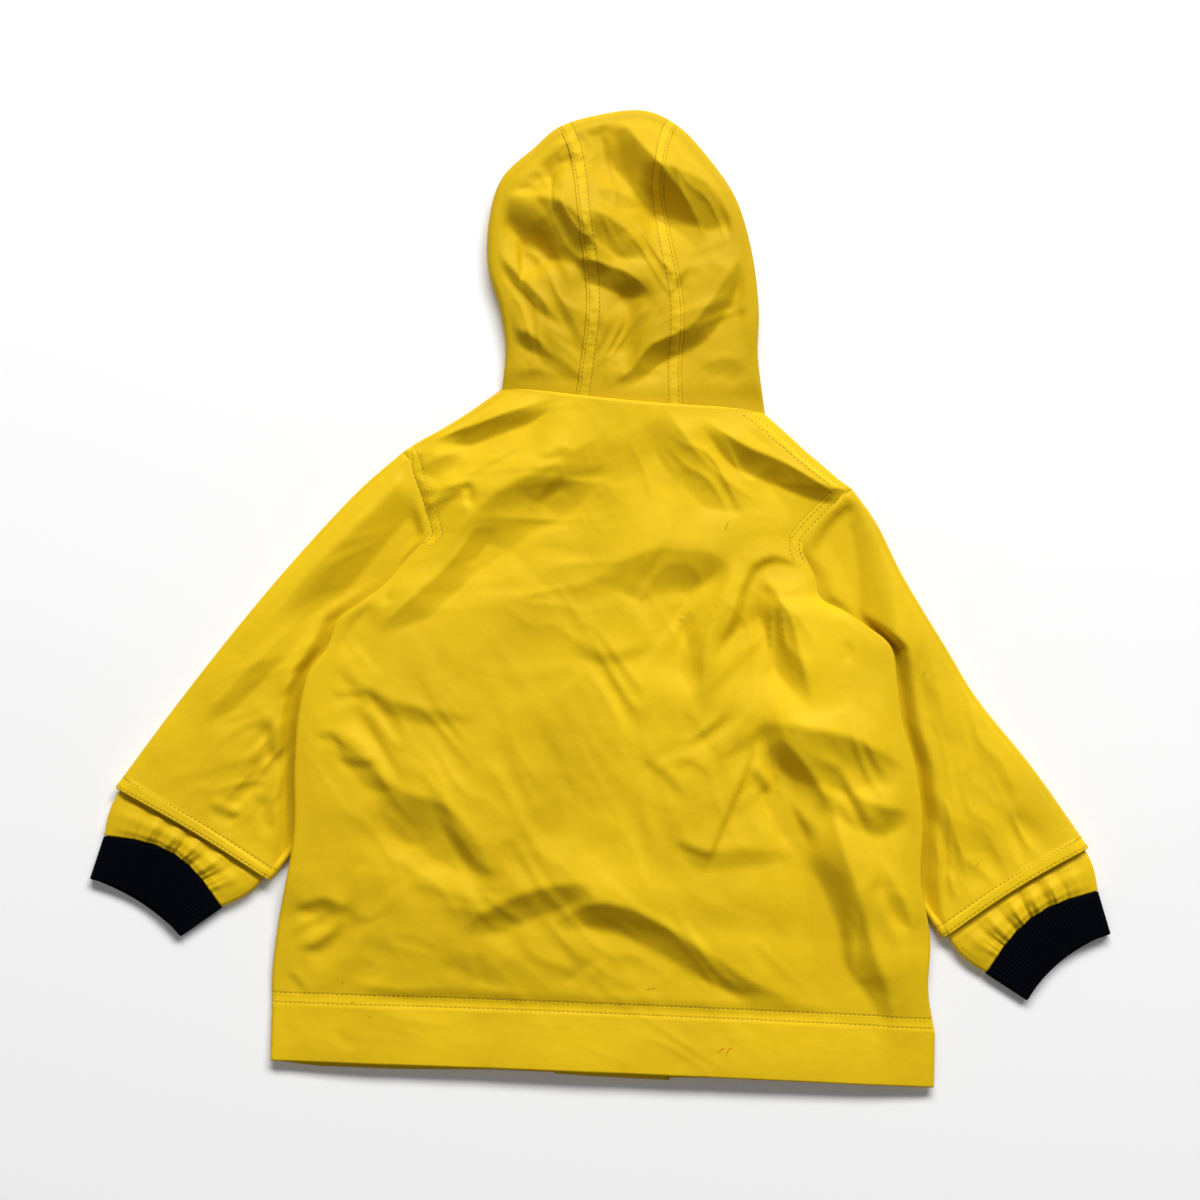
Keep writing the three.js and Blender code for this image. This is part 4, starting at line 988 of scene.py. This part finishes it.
def back_grid():
    """The back from the roll at the neck to the hem, and from the curl of one side to the other."""
    left = back_edge(BACK_LEFT, SLEEVES["left"])
    right = back_edge(BACK_RIGHT, SLEEVES["right"])
    down = (left[0, 1] - left[:, 1]) / (left[0, 1] - left[-1, 1])
    read = {name: column(BACK_ROWS, down, k) for k, name in enumerate(
        ("left", "crown", "right", "curl", "radius", "bow"), start=1)}
    curl = np.radians(read["curl"])
    reach = read["radius"] * np.sin(np.minimum(curl, math.pi / 2))
    across = np.linspace(0, 1, BACK_COLUMNS + 1)[None, :]
    x = mix((left[:, 0] + reach)[:, None], (right[:, 0] - reach)[:, None], across)
    y = mix(left[:, 1:2], right[:, 1:2], across) + read["bow"][:, None] * np.sin(math.pi * across)
    edge = mix(read["left"][:, None], read["right"][:, None], across)
    dome = 1 - np.abs(2 * across - 1) ** 3
    free = smooth(np.minimum(across, 1 - across) / BACK_FADE["side"])
    at_hem = mix(FADED, 1, smooth((1 - down) / BACK_FADE["hem"]))
    calm = (at_hem * mix(FADED, 1, smooth(down / BACK_FADE["neck"])))[:, None]
    folds = fold_height(BACK_FOLDS, x.ravel(), y.ravel()).reshape(x.shape)
    quiet = (crumple(x, y, *BACK_UNEVEN) + streaks(BACK_STREAKS, x, y)) * free * calm
    hem_line = y[-1:] + HEM_DEPTH
    doubled = HEM_STEP * (1 - smooth((y - hem_line - HEM_STEP_RUN[0]) / HEM_STEP_RUN[1]))
    distance, along = back_seams(x.ravel(), y.ravel())
    puckers = seam_puckers(distance, along).reshape(x.shape)
    z = edge + (read["crown"][:, None] - edge) * dome + folds * free * calm + quiet + doubled + puckers
    to_hem = smooth((down - BACK_LOWEST_CHANGE[0]) / BACK_LOWEST_CHANGE[1])
    lowest = np.minimum(edge, mix(*BACK_LOWEST, to_hem)[:, None])
    z = lowest + np.maximum(z - lowest, 0)
    middle = np.stack([x, y, z], axis=-1)
    turns = np.linspace(0, 1, BACK_CURL_STEPS + 1)[1:]

    def curled(edge_points, side):
        turn = curl[:, None] * turns[None, :]
        shift = np.zeros((len(down), len(turns), 3))
        shift[..., 0] = side * read["radius"][:, None] * np.sin(turn)
        shift[..., 2] = read["radius"][:, None] * (np.cos(turn) - 1)
        return edge_points[:, None, :] + shift

    places = np.concatenate([curled(middle[:, 0], -1)[:, ::-1], middle, curled(middle[:, -1], 1)], axis=1)
    return np.vstack([neck_curl(places[0]), places])


def neck_curl(edge):
    """The top of the back rolls over and under, above the hood's lower edge."""
    radius, degrees, steps = NECK_CURL
    where = np.clip((np.arange(len(edge)) - BACK_CURL_STEPS) / (len(edge) - 2 * BACK_CURL_STEPS - 1), 0, 1)
    turn = np.radians(degrees) * np.sin(math.pi * where) ** NECK_CURL_FULL
    rows = []
    for i in range(steps, 0, -1):
        shift = np.zeros_like(edge)
        shift[:, 1] = radius * np.sin(turn * i / steps) + NECK_CURL_SPREAD * i
        shift[:, 2] = radius * (np.cos(turn * i / steps) - 1)
        rows.append(edge + shift)
    return np.array(rows)


def back_seam_distance(places):
    """How far each place of the back lies from its nearest stitched edge, and from the hem's fold line."""
    first = NECK_CURL[2]
    hem = places[-1:, :, 1]
    distance = places[..., 1] - hem - HEM_DEPTH
    distance[places[..., 1] < hem - BELOW_HEM] = FAR
    distance = np.where(distance > -ABOVE_EDGE, distance, FAR)
    near = back_seams(places[..., 0].ravel(), places[..., 1].ravel())[0]
    distance = np.minimum(distance, near.reshape(distance.shape))
    distance[:first] = FAR
    return distance


# Sleeves, cuffs and ribs

def ring_places(curl, top, under):
    """Places round a flattened tube: kind, and a turn in radians or a share across."""
    places = [("start", math.pi * i / curl) for i in range(curl + 1)]
    places += [("top", i / top) for i in range(1, top)]
    places += [("finish", math.pi * i / curl) for i in range(curl + 1)]
    places += [("under", 1 - i / under) for i in range(1, under)]
    return places


def flat_ring(places, a, b, heights, top_height, bow_at, floor=0.0):
    """One ring of a flattened tube from edge point a to edge point b."""
    width = np.linalg.norm(b - a)
    radius_a, radius_b = ((height - floor) / 2 for height in heights)
    share, height, kinds, across = [], [], [], []
    for kind, value in places:
        if kind == "start":
            share.append(radius_a / width * (1 - math.sin(value)))
            height.append(floor + radius_a * (1 - math.cos(value)))
        elif kind == "finish":
            share.append(1 - radius_b / width * (1 - math.sin(value)))
            height.append(floor + radius_b * (1 + math.cos(value)))
        else:
            share.append(mix(radius_a / width, 1 - radius_b / width, value))
            height.append(floor)
        kinds.append(kind)
        across.append(value if kind in ("top", "under") else 0.0)
    share, height, across = np.array(share), np.array(height), np.array(across)
    top = np.array([kind == "top" for kind in kinds])
    under = np.array([kind == "under" for kind in kinds])
    plan = mix(a, b, share[:, None]) + bow_at(share, under)
    height[top] = top_height(plan[top], across[top])
    return np.column_stack([plan, height])


def fold_edge_x(sleeve, y):
    """Where the side fold of the body lies at heights y: it covers the sleeve inside it."""
    fold = (BACK_LEFT if sleeve["side"] < 0 else BACK_RIGHT)["fold"]
    points = np.vstack([armhole_point(sleeve, np.array([0, 0.1, 0.2])), sized(fold)])
    return np.interp(-y, -points[:, 1], points[:, 0])


def sleeve_grid(sleeve):
    """The rings of a sleeve, from a tucked one at the armhole to its stitched end."""
    places = ring_places(*SLEEVE_ACROSS)
    hem_start = 1 - SLEEVE_HEM / Line(sleeve["outer"]).length
    end_y = armhole_point(sleeve, sleeve["shown"])[1]
    alongs = np.concatenate([np.linspace(0, hem_start, SLEEVE_RINGS), [hem_start + SLEEVE_HEM_GAP],
                             np.linspace(hem_start + 2 * SLEEVE_HEM_GAP, 1, SLEEVE_HEM_RINGS)])
    rings = []
    for along in alongs:
        a, b, backwards = sleeve_frame(sleeve, along)
        outer, inner, rise = (float(column(SLEEVE_ROWS, along, k)) for k in (1, 2, 3))
        bow = mix(*sleeve["bow"], float(smooth(along * BOW_PACE)))
        doubled = HEM_STEP * (along > hem_start)

        def top(plan, across):
            outside = sleeve["side"] * (plan[:, 0] - fold_edge_x(sleeve, plan[:, 1]))
            free = smooth((outside - SLEEVE_RISE[0]) / SLEEVE_RISE[1])
            dome = np.sin(math.pi * across) ** 0.5
            calm = smooth((1 - along) / SLEEVE_FADE)
            fold = fold_height(SLEEVE_FOLDS, *plan.T) + streaks(SLEEVE_STREAKS, *plan.T)
            fold = (fold + crumple(*plan.T, *SLEEVE_UNEVEN)) * calm
            level = mix(ARMHOLE_LEVEL, SLEEVE_DIP, smooth((end_y - plan[:, 1]) / SLEEVE_DIP_LENGTH))
            height = mix(level, mix(outer, inner, across) + (rise + fold) * dome, free) + doubled
            return np.maximum(height, SLEEVE_DIP)

        def bow_at(share, under):
            return backwards * (bow * np.sin(math.pi * share))[:, None]

        rings.append(flat_ring(places, a, b, (outer, inner), top, bow_at))
    tucked = rings[0] + (SLEEVE_TUCK[0] * sleeve["side"], *SLEEVE_TUCK[1:])
    tucked[:, 2] = np.maximum(tucked[:, 2], SLEEVE_TUCK_LOWEST)
    return np.array([tucked] + rings)


def sleeve_seam_distance(sleeve, grid):
    """How far each ring lies from the sleeve's stitched end."""
    step = np.linalg.norm(np.diff(grid, axis=0), axis=2)
    below = np.cumsum(step[::-1], axis=0)[::-1]
    return np.vstack([below, np.zeros((1, grid.shape[1]))])


def back_bow(a, b, side, amount, under_amount=0.0):
    """The bow of a ring towards the body, on its top and on its underside."""
    d = unit(b - a)
    backwards = np.array([-d[1], d[0]]) * -side

    def bow_at(share, under):
        return backwards * (np.where(under, under_amount, amount) * np.sin(math.pi * share))[:, None]
    return bow_at


def cuff_grid(cuff, side):
    """The rings of an inner cuff, which gather from the sleeve down to the rib."""
    start, seam = sized(cuff["start"]), sized(cuff["seam"])
    places = ring_places(*CUFF_ACROSS)
    rings = []
    for along in np.linspace(0, 1, CUFF_RINGS):
        a, b = mix(start[0], seam[0], along), mix(start[1], seam[1], along)
        outwards = unit(b - a) * math.sin(math.pi * along)
        a, b = a - outwards * cuff["bulge"][0], b + outwards * cuff["bulge"][1]
        lift, edge, rise, gather = (float(column(CUFF_ROWS, along, k)) for k in (1, 2, 3, 4))

        def top(plan, across):
            wave = np.zeros_like(across)
            for where, height, width in GATHERS:
                lean = where + GATHER_LEAN[0] * (1 - along) * math.sin(GATHER_LEAN[1] * where)
                spread = width * mix(*GATHER_SPREAD, along)
                wave += height * np.exp(-((across - lean) / spread) ** 2)
            size, waves, uneven, uneven_waves, first, growth = CRINKLES
            small = size * np.sin(across * waves + uneven * np.sin(across * uneven_waves))
            wave += small * smooth((along - first) / growth)
            return edge + np.sin(math.pi * across) ** WRIST_FULL * (rise + GATHER_DEPTH * gather * wave)

        bow_at = back_bow(a, b, side, cuff["bows"][0] * along)
        rings.append(flat_ring(places, a, b, (edge, edge), top, bow_at, lift))
    return np.array(rings)


def rib_grid(cuff, side):
    """The rings of a knitted rib, ridged on both faces."""
    seam, end = sized(cuff["seam"]), sized(cuff["end"])
    places = ring_places(*RIB_ACROSS)
    rings = []
    for along in np.linspace(0, 1, RIB_RINGS):
        away = unit(end[0] - seam[0]) * (1 - along)
        a, b = mix(seam[0], end[0], along) + away, mix(seam[1], end[1], along) + away
        edge = mix(*RIB_EDGE, along)

        def top(plan, across):
            ribs = RIB_RELIEF * (0.5 + 0.5 * np.cos(2 * math.pi * RIB_COUNT * across)) - RIB_RELIEF
            return edge + np.sin(math.pi * across) ** WRIST_FULL * mix(*RIB_RISE, along) + ribs

        bow = mix(*cuff["bows"], along)
        bow_at = back_bow(a, b, side, bow, cuff["under"] * along)
        ring = flat_ring(places, a, b, (edge, edge), top, bow_at)
        under = np.array([kind == "under" for kind, _ in places])
        shares = np.array([value for kind, value in places if kind == "under"])
        ring[under, 2] += RIB_RELIEF * (0.5 - 0.5 * np.cos(2 * math.pi * RIB_COUNT * shares))
        rings.append(ring)
    return np.array(rings)


# Hood

class Rim:
    """A line round the hood in three stretches: left, top and right."""

    def __init__(self, stretches):
        left, top, right = stretches
        points = left + top + right
        last = len(points) - 1
        self.line = Line(points)
        self.ends = (0, (len(left) - 1) / last, (len(left) + len(top)) / last, 1)

    def _at(self, stretch, share):
        return mix(self.ends[stretch], self.ends[stretch + 1], share)

    def point(self, stretch, share):
        """The point at a share of one stretch."""
        return self.line.at_index(self._at(stretch, share))

    def outward(self, stretch, share):
        """The direction away from the hood at a share of one stretch."""
        tangent = self.line.tangent_at_index(self._at(stretch, share))
        return np.array([-tangent[1], tangent[0]])


HOOD_RIM = Rim(HOOD_OUTLINE)
HOOD_FACE_EDGE = Rim(HOOD_FACE)


def hood_row(y, number):
    """Reads a column of the hood's heights at a place y."""
    low, high = HOOD_SEAM[-1][0][1] * LONGER, HOOD_OUTLINE[1][1][1] * LONGER
    return column(HOOD_ROWS, (y - low) / (high - low), number)


def hood_height(plan):
    """The hood's height over the floor at plan places, from how far they lie in from its roll."""
    x, y = plan[:, 0], plan[:, 1]
    radius, crown = hood_row(y, 1), hood_row(y, 2)
    rim = HOOD_RIM.line.dense
    nearest = np.hypot(x[:, None] - rim[:, 0], y[:, None] - rim[:, 1]).min(axis=1)
    inside = np.maximum(0, nearest - radius)
    dome = 1 - (1 - np.clip(inside / HOOD_DOME, 0, 1)) ** 2
    calm = smooth((y / LONGER - HOOD_NECK_FADE[0]) / HOOD_NECK_FADE[1]) * smooth(inside / HOOD_ROLL_FADE)
    folds = fold_height(HOOD_FOLDS, x, y) + crumple(x, y, *HOOD_UNEVEN) + streaks(HOOD_STREAKS, x, y)
    return 2 * radius + (crown - 2 * radius) * dome + HOOD_DEPTH * folds * calm


def rim_roll(stretch, share):
    """Where the hood starts to roll over its outline, and the points of the roll down to the floor."""
    edge, outward = HOOD_RIM.point(stretch, share), HOOD_RIM.outward(stretch, share)
    radius = float(hood_row(edge[1], 1))
    start = edge - outward * radius
    turns = math.pi * np.linspace(0, 1, HOOD_WRAP_STEPS + 1)
    plan = start + outward * radius * np.sin(turns)[:, None]
    points = np.column_stack([plan, radius * (1 + np.cos(turns))])
    return start, points


def floor_points(stretch, share, start):
    """The points of the hood's underside, from its roll to the edge of the face opening."""
    steps = (np.arange(HOOD_FLOOR_COLUMNS) + 1) / HOOD_FLOOR_COLUMNS
    plan = mix(start, HOOD_FACE_EDGE.point(stretch, share), steps[:, None])
    return np.column_stack([plan, np.zeros(len(plan))])


def seam_line(side):
    """The seam between the gusset and one side, on to where the hood rolls over."""
    last = rim_roll(0 if side < 0 else 2, 1 if side < 0 else 0)[0]
    return Line(HOOD_SEAM[side] + ((last[0] / WIDER, last[1] / LONGER),))


def hood_side_grid(side):
    """One side of the hood; its seam edge is tucked under the gusset."""
    seam, stretch = seam_line(side), 0 if side < 0 else 2
    rows = []
    for along in np.linspace(0, 1, HOOD_SIDE_STEPS + 1):
        share = along if side < 0 else 1 - along
        start, roll = rim_roll(stretch, share)
        plan = mix(seam.at(along), start, (np.arange(HOOD_TOP_COLUMNS) / HOOD_TOP_COLUMNS)[:, None])
        over = np.column_stack([plan, hood_height(plan)])
        tucks = np.array([TUCK, TUCK_START])
        tucked = over[:1] + np.column_stack([-side * tucks, [0, 0], [-LAYER, -LAYER]])
        tucked[:, 1] -= smooth((along - TUCK_TURN_FROM) / (1 - TUCK_TURN_FROM)) * tucks
        over = over + (side * SIDE_CLEAR, 0, 0)
        rows.append(np.vstack([tucked, over, roll, floor_points(stretch, share, start)]))
    return np.array(rows)


def hood_gusset_grid():
    """The strip between the two sides, puckered along its seams, over the top and under."""
    left, right = seam_line(-1), seam_line(1)
    end_left, end_right = left.at(1.0), right.at(1.0)
    lines = []
    for across in np.linspace(0, 1, GUSSET_COLUMNS + 1):
        start, roll = rim_roll(1, across)
        alongs = (np.arange(GUSSET_STEPS) / GUSSET_STEPS)[:, None]
        plan = mix(left.at(alongs[:, 0]), right.at(alongs[:, 0]), across)
        reach = smooth((alongs - GUSSET_BULGE_FROM) / (1 - GUSSET_BULGE_FROM))
        plan = plan + (start - mix(end_left, end_right, across)) * reach
        over = np.column_stack([plan, hood_height(plan)])
        width = np.linalg.norm(right.at(alongs[:, 0]) - left.at(alongs[:, 0]), axis=1)
        near_seam = min(across, 1 - across) * width
        along_seam = alongs[:, 0] * left.length + PUCKER_SHIFT * (across > 0.5)
        over[:, 2] += seam_puckers(near_seam, along_seam) + HEM_STEP
        lines.append(np.vstack([over, roll, floor_points(1, across, start)]))
    return np.array(lines).transpose(1, 0, 2)


# Fronts

def neck_front_y(x):
    """Where the fronts end at the neck, just under its line."""
    return np.interp(x, *sized(NECK_FRONT).T) - FRONT_INSET


def front_grid(name):
    """One front: a flat panel on the floor, from its side edge to the placket, with shallow creases."""
    sleeve = SLEEVES[name]
    side = sleeve["side"]
    centre = (PLACKET[0] - FRONT_GAP if side < 0 else PLACKET[1] + FRONT_GAP) * WIDER
    shoulder_x = (NECK_FRONT[0 if side < 0 else -1][0] - side * FRONT_INSET) * WIDER
    armhole = armhole_point(sleeve, np.linspace(0, 1, 30)) - (side * FRONT_INSET, 0)
    shoulder = [shoulder_x, neck_front_y(shoulder_x)]
    edge = np.vstack([shoulder, armhole, sized(FRONT_SIDE[name])])
    bottom = edge[-1, 1]
    neck_low = neck_front_y(centre)
    y = np.linspace(edge[0, 1], bottom, FRONT_ROWS)
    outer = np.interp(-y, -edge[:, 1], edge[:, 0])
    inner = np.where(y > neck_low, mix(centre, shoulder_x, (y - neck_low) / (edge[0, 1] - neck_low)), centre)
    across = np.linspace(0, 1, FRONT_COLUMNS)[None, :]
    x = mix(inner[:, None], outer[:, None], across)
    low = np.interp(x, *sized(FRONT_HEM).T) - bottom
    yy = np.broadcast_to(y[:, None], x.shape) + low * smooth((bottom + FRONT_END - y) / FRONT_END)[:, None]
    quiet = np.clip(np.minimum(across, 1 - across) / FRONT_FADE, 0, 1)
    z = CLOTH + FRONT_LIFT + np.clip(crumple(x, yy, *FRONT_UNEVEN), 0, FRONT_CREASE) * quiet
    return np.stack([x, yy, z], axis=-1)


def strip_grid(x_range, y_range, z, rows=100, columns=12):
    """A flat strip on the front; a callable end height lets it follow the neckline."""
    x = np.linspace(*x_range, columns)[None, :] * WIDER
    top = y_range[1](x) if callable(y_range[1]) else np.full_like(x, y_range[1] * LONGER)
    y = mix(y_range[0] * LONGER, top, np.linspace(0, 1, rows)[:, None])
    return np.stack([np.broadcast_to(x, y.shape), y, np.full_like(y, z)], axis=-1)


# Stitches

def stitch_object(name, lines):
    """Short stitches laid along lines of points in millimetres."""
    length, width, height = STITCH_SIZE
    bm = bmesh.new()
    for line in lines:
        gaps = np.linalg.norm(np.diff(line, axis=0), axis=1)
        lengths = np.concatenate([[0], np.cumsum(gaps)])
        places = np.arange(STITCH_PITCH / 2, lengths[-1], STITCH_PITCH)
        centre = np.stack([np.interp(places, lengths, line[:, k]) for k in range(3)], axis=-1)
        ahead = np.stack([np.interp(places + STITCH_AHEAD, lengths, line[:, k]) for k in range(3)], axis=-1)
        for c, d in zip(centre, ahead - centre):
            d = d / (np.linalg.norm(d) + 1e-9)
            across = np.cross((0, 0, 1), d)
            across = across / (np.linalg.norm(across) + 1e-9)
            up = np.cross(d, across)
            made = bmesh.ops.create_uvsphere(bm, u_segments=6, v_segments=4, radius=1)["verts"]
            for vertex in made:
                p = vertex.co
                vertex.co = (c + d * p.z * length / 2 + across * p.x * width / 2 + up * p.y * height / 2) * MM
                vertex.co.z = max(vertex.co.z, 0)
    return wear(smooth_object(name, bm, THREAD), "yellow_cloth")


def level_line(grid, distance, level, columns):
    """The line on a grid, one point for each of its columns, where a distance table reaches a level."""
    points = []
    for c in columns:
        values = distance[:, c]
        rows = np.nonzero((values[:-1] - level) * (values[1:] - level) <= 0)[0]
        rows = [r for r in rows if max(values[r], values[r + 1]) < FAR / 2]
        if rows:
            r = rows[-1]
            t = (values[r] - level) / (values[r] - values[r + 1] + 1e-12)
            points.append(mix(grid[r, c], grid[r + 1, c], t))
    return np.array(points)


# Build the pieces

def lift_line(line):
    """A line raised onto the face of the cloth."""
    return line + (0, 0, STITCH_LIFT)


def side_line(places, rows, edge, away):
    """A line on a grid along one of its columns, at a distance from it; below 0 it lies to the left."""
    line = []
    for row in rows:
        step = np.linalg.norm(places[row, edge + (1 if away > 0 else -1)] - places[row, edge])
        line.append(cloth_point(places, np.array(float(row)), np.array(edge + away / step)))
    return lift_line(np.array(line))


def build_back():
    """The back with the stitches of its hem, its armholes and its right shoulder."""
    places = back_grid()
    seam = back_seam_distance(places)
    back = wear(sheet_object("back_cloth", places, YELLOW, seam=seam), "yellow_cloth", "back_panel")
    first_column = BACK_CURL_STEPS - STITCH_PAST["hem"]
    columns = range(first_column, places.shape[1] - first_column)
    rows = [lift_line(level_line(places, seam, level, columns)) for level in STITCH_ROWS]
    stitches = stitch_object("hem_stitches", rows)
    first = NECK_CURL[2] + BACK_STEPS["shoulder"]
    armhole = range(first, first + BACK_STEPS["armhole"] + STITCH_PAST["armhole"])
    right_edge = places.shape[1] - 1 - BACK_CURL_STEPS
    sides = [side_line(places, armhole, edge, inwards * level)
             for edge, inwards in ((BACK_CURL_STEPS, 1), (right_edge, -1)) for level in STITCH_ROWS]
    sides += [side_line(places, range(NECK_CURL[2] + 1, first), right_edge, -SHOULDER_SLANT * level)
              for level in STITCH_ROWS]
    armholes = stitch_object("armhole_stitches", sides)
    return back


def build_sleeve(name):
    """A sleeve with the stitches of its end, its inner cuff and its rib."""
    sleeve, cuff = SLEEVES[name], CUFFS[name]
    side = sleeve["side"]
    grid = sleeve_grid(sleeve)
    distance = sleeve_seam_distance(sleeve, grid)
    piece = sheet_object(f"sleeve_{name}_cloth", grid, YELLOW, closed=True, seam=distance)
    wear(piece, "yellow_cloth", f"sleeve_{name}")
    rows = []
    for level in STITCH_ROWS:
        line = lift_line(level_line(grid, distance, level, range(grid.shape[1])))
        line[:, 2] = np.maximum(line[:, 2], STITCH_SIZE[2])
        rows.append(np.vstack([line, line[:1]]))
    stitches = stitch_object(f"sleeve_{name}_stitches", rows)
    inner = sheet_object(f"inner_cuff_{name}_cloth", cuff_grid(cuff, side), YELLOW, closed=True)
    wear(inner, "yellow_cloth", f"inner_cuff_{name}")
    rib = sheet_object(f"rib_{name}_knit", rib_grid(cuff, side), NAVY, thickness=RIB_CLOTH, closed=True)
    wear(rib, "navy_rib", f"rib_{name}")


def build_hood():
    """The gusset with its stitches, and the hood's two sides."""
    gusset = hood_gusset_grid()
    width = np.linalg.norm(gusset[:, -1] - gusset[:, 0], axis=1)[:, None]
    shares = np.linspace(0, 1, gusset.shape[1])[None, :]
    distance = np.minimum(shares, 1 - shares) * width
    middle = sheet_object("hood_gusset_cloth", gusset, HOOD_SHADED_YELLOW, seam=distance)
    wear(middle, "yellow_cloth", "hood_gusset")
    rows = np.arange(gusset.shape[0], dtype=float)
    lines = []
    for level in STITCH_ROWS:
        for share in (level / width[:, 0], 1 - level / width[:, 0]):
            line = cloth_point(gusset, rows, share * (gusset.shape[1] - 1))
            lines.append(lift_line(line[:GUSSET_STEPS + STITCH_PAST["gusset"]]))
    stitches = stitch_object("gusset_stitches", lines)
    for name, side in (("left", -1), ("right", 1)):
        piece = sheet_object(f"hood_{name}_cloth", hood_side_grid(side), HOOD_SHADED_YELLOW)
        wear(piece, "yellow_cloth", f"hood_{name}")


def build_fronts():
    """Both fronts, the placket over their opening and the underlap."""
    for name in ("left", "right"):
        piece = sheet_object(f"front_{name}_cloth", front_grid(name), YELLOW)
        wear(piece, "yellow_cloth", f"front_{name}")
    strip = strip_grid(PLACKET, (STRIP_END, neck_front_y), CLOTH + PLACKET_LIFT)
    flap = sheet_object("placket_cloth", strip, YELLOW, PLACKET_CLOTH)
    wear(flap, "yellow_cloth", "front_placket")
    strip = strip_grid(UNDERLAP, (STRIP_END, UNDERLAP_TOP), UNDERLAP_LEVEL)
    under = wear(sheet_object("underlap_cloth", strip, YELLOW), "yellow_cloth", "front_underlap")


def build_snaps():
    """The solid snaps stay as they are, in their own material."""
    for obj in bpy.data.objects:
        if obj.name.startswith("snap_") and obj.type == "MESH":
            obj.data.materials.clear()
            obj.data.materials.append(SNAP)


def build_stage():
    """Pale floor, soft light from the top of the picture, and a camera straight above."""
    bpy.ops.mesh.primitive_plane_add(size=FLOOR_SIZE, location=(0, 0, -FLOOR_DROP))
    floor = bpy.context.object
    floor.name = "floor"
    paper, _, shader = new_material("floor_paper")
    shader.inputs["Base Color"].default_value = PAPER
    shader.inputs["Roughness"].default_value = 0.9
    floor.data.materials.append(paper)
    scene = bpy.context.scene
    scene.view_settings.view_transform = "Standard"
    world = bpy.data.worlds.new("studio")
    world.use_nodes = True
    world.node_tree.nodes["Background"].inputs["Color"].default_value = (1, 1, 1, 1)
    world.node_tree.nodes["Background"].inputs["Strength"].default_value = AMBIENT
    scene.world = world
    for name, place, size, power in LIGHTS:
        light = bpy.data.lights.new(name, "AREA")
        light.shape = "RECTANGLE"
        light.size, light.size_y = size
        light.energy = power
        lamp = linked(name, light)
        lamp.location = place
        lamp.rotation_euler = (-lamp.location).to_track_quat("-Z", "Y").to_euler()
    camera = bpy.data.cameras.new("camera")
    camera.lens = LENS
    camera.sensor_width = SENSOR
    camera_object = linked("camera", camera)
    height = FRAME_WIDTH * LENS / SENSOR
    camera_object.location = (AIM[0] * MM, AIM[1] * MM, height * MM)
    camera_object.rotation_euler = (0, 0, math.radians(ROLL))
    scene.camera = camera_object


build_stage()
build_fronts()
for sleeve_name in SLEEVES:
    build_sleeve(sleeve_name)
build_back()
build_hood()
build_snaps()
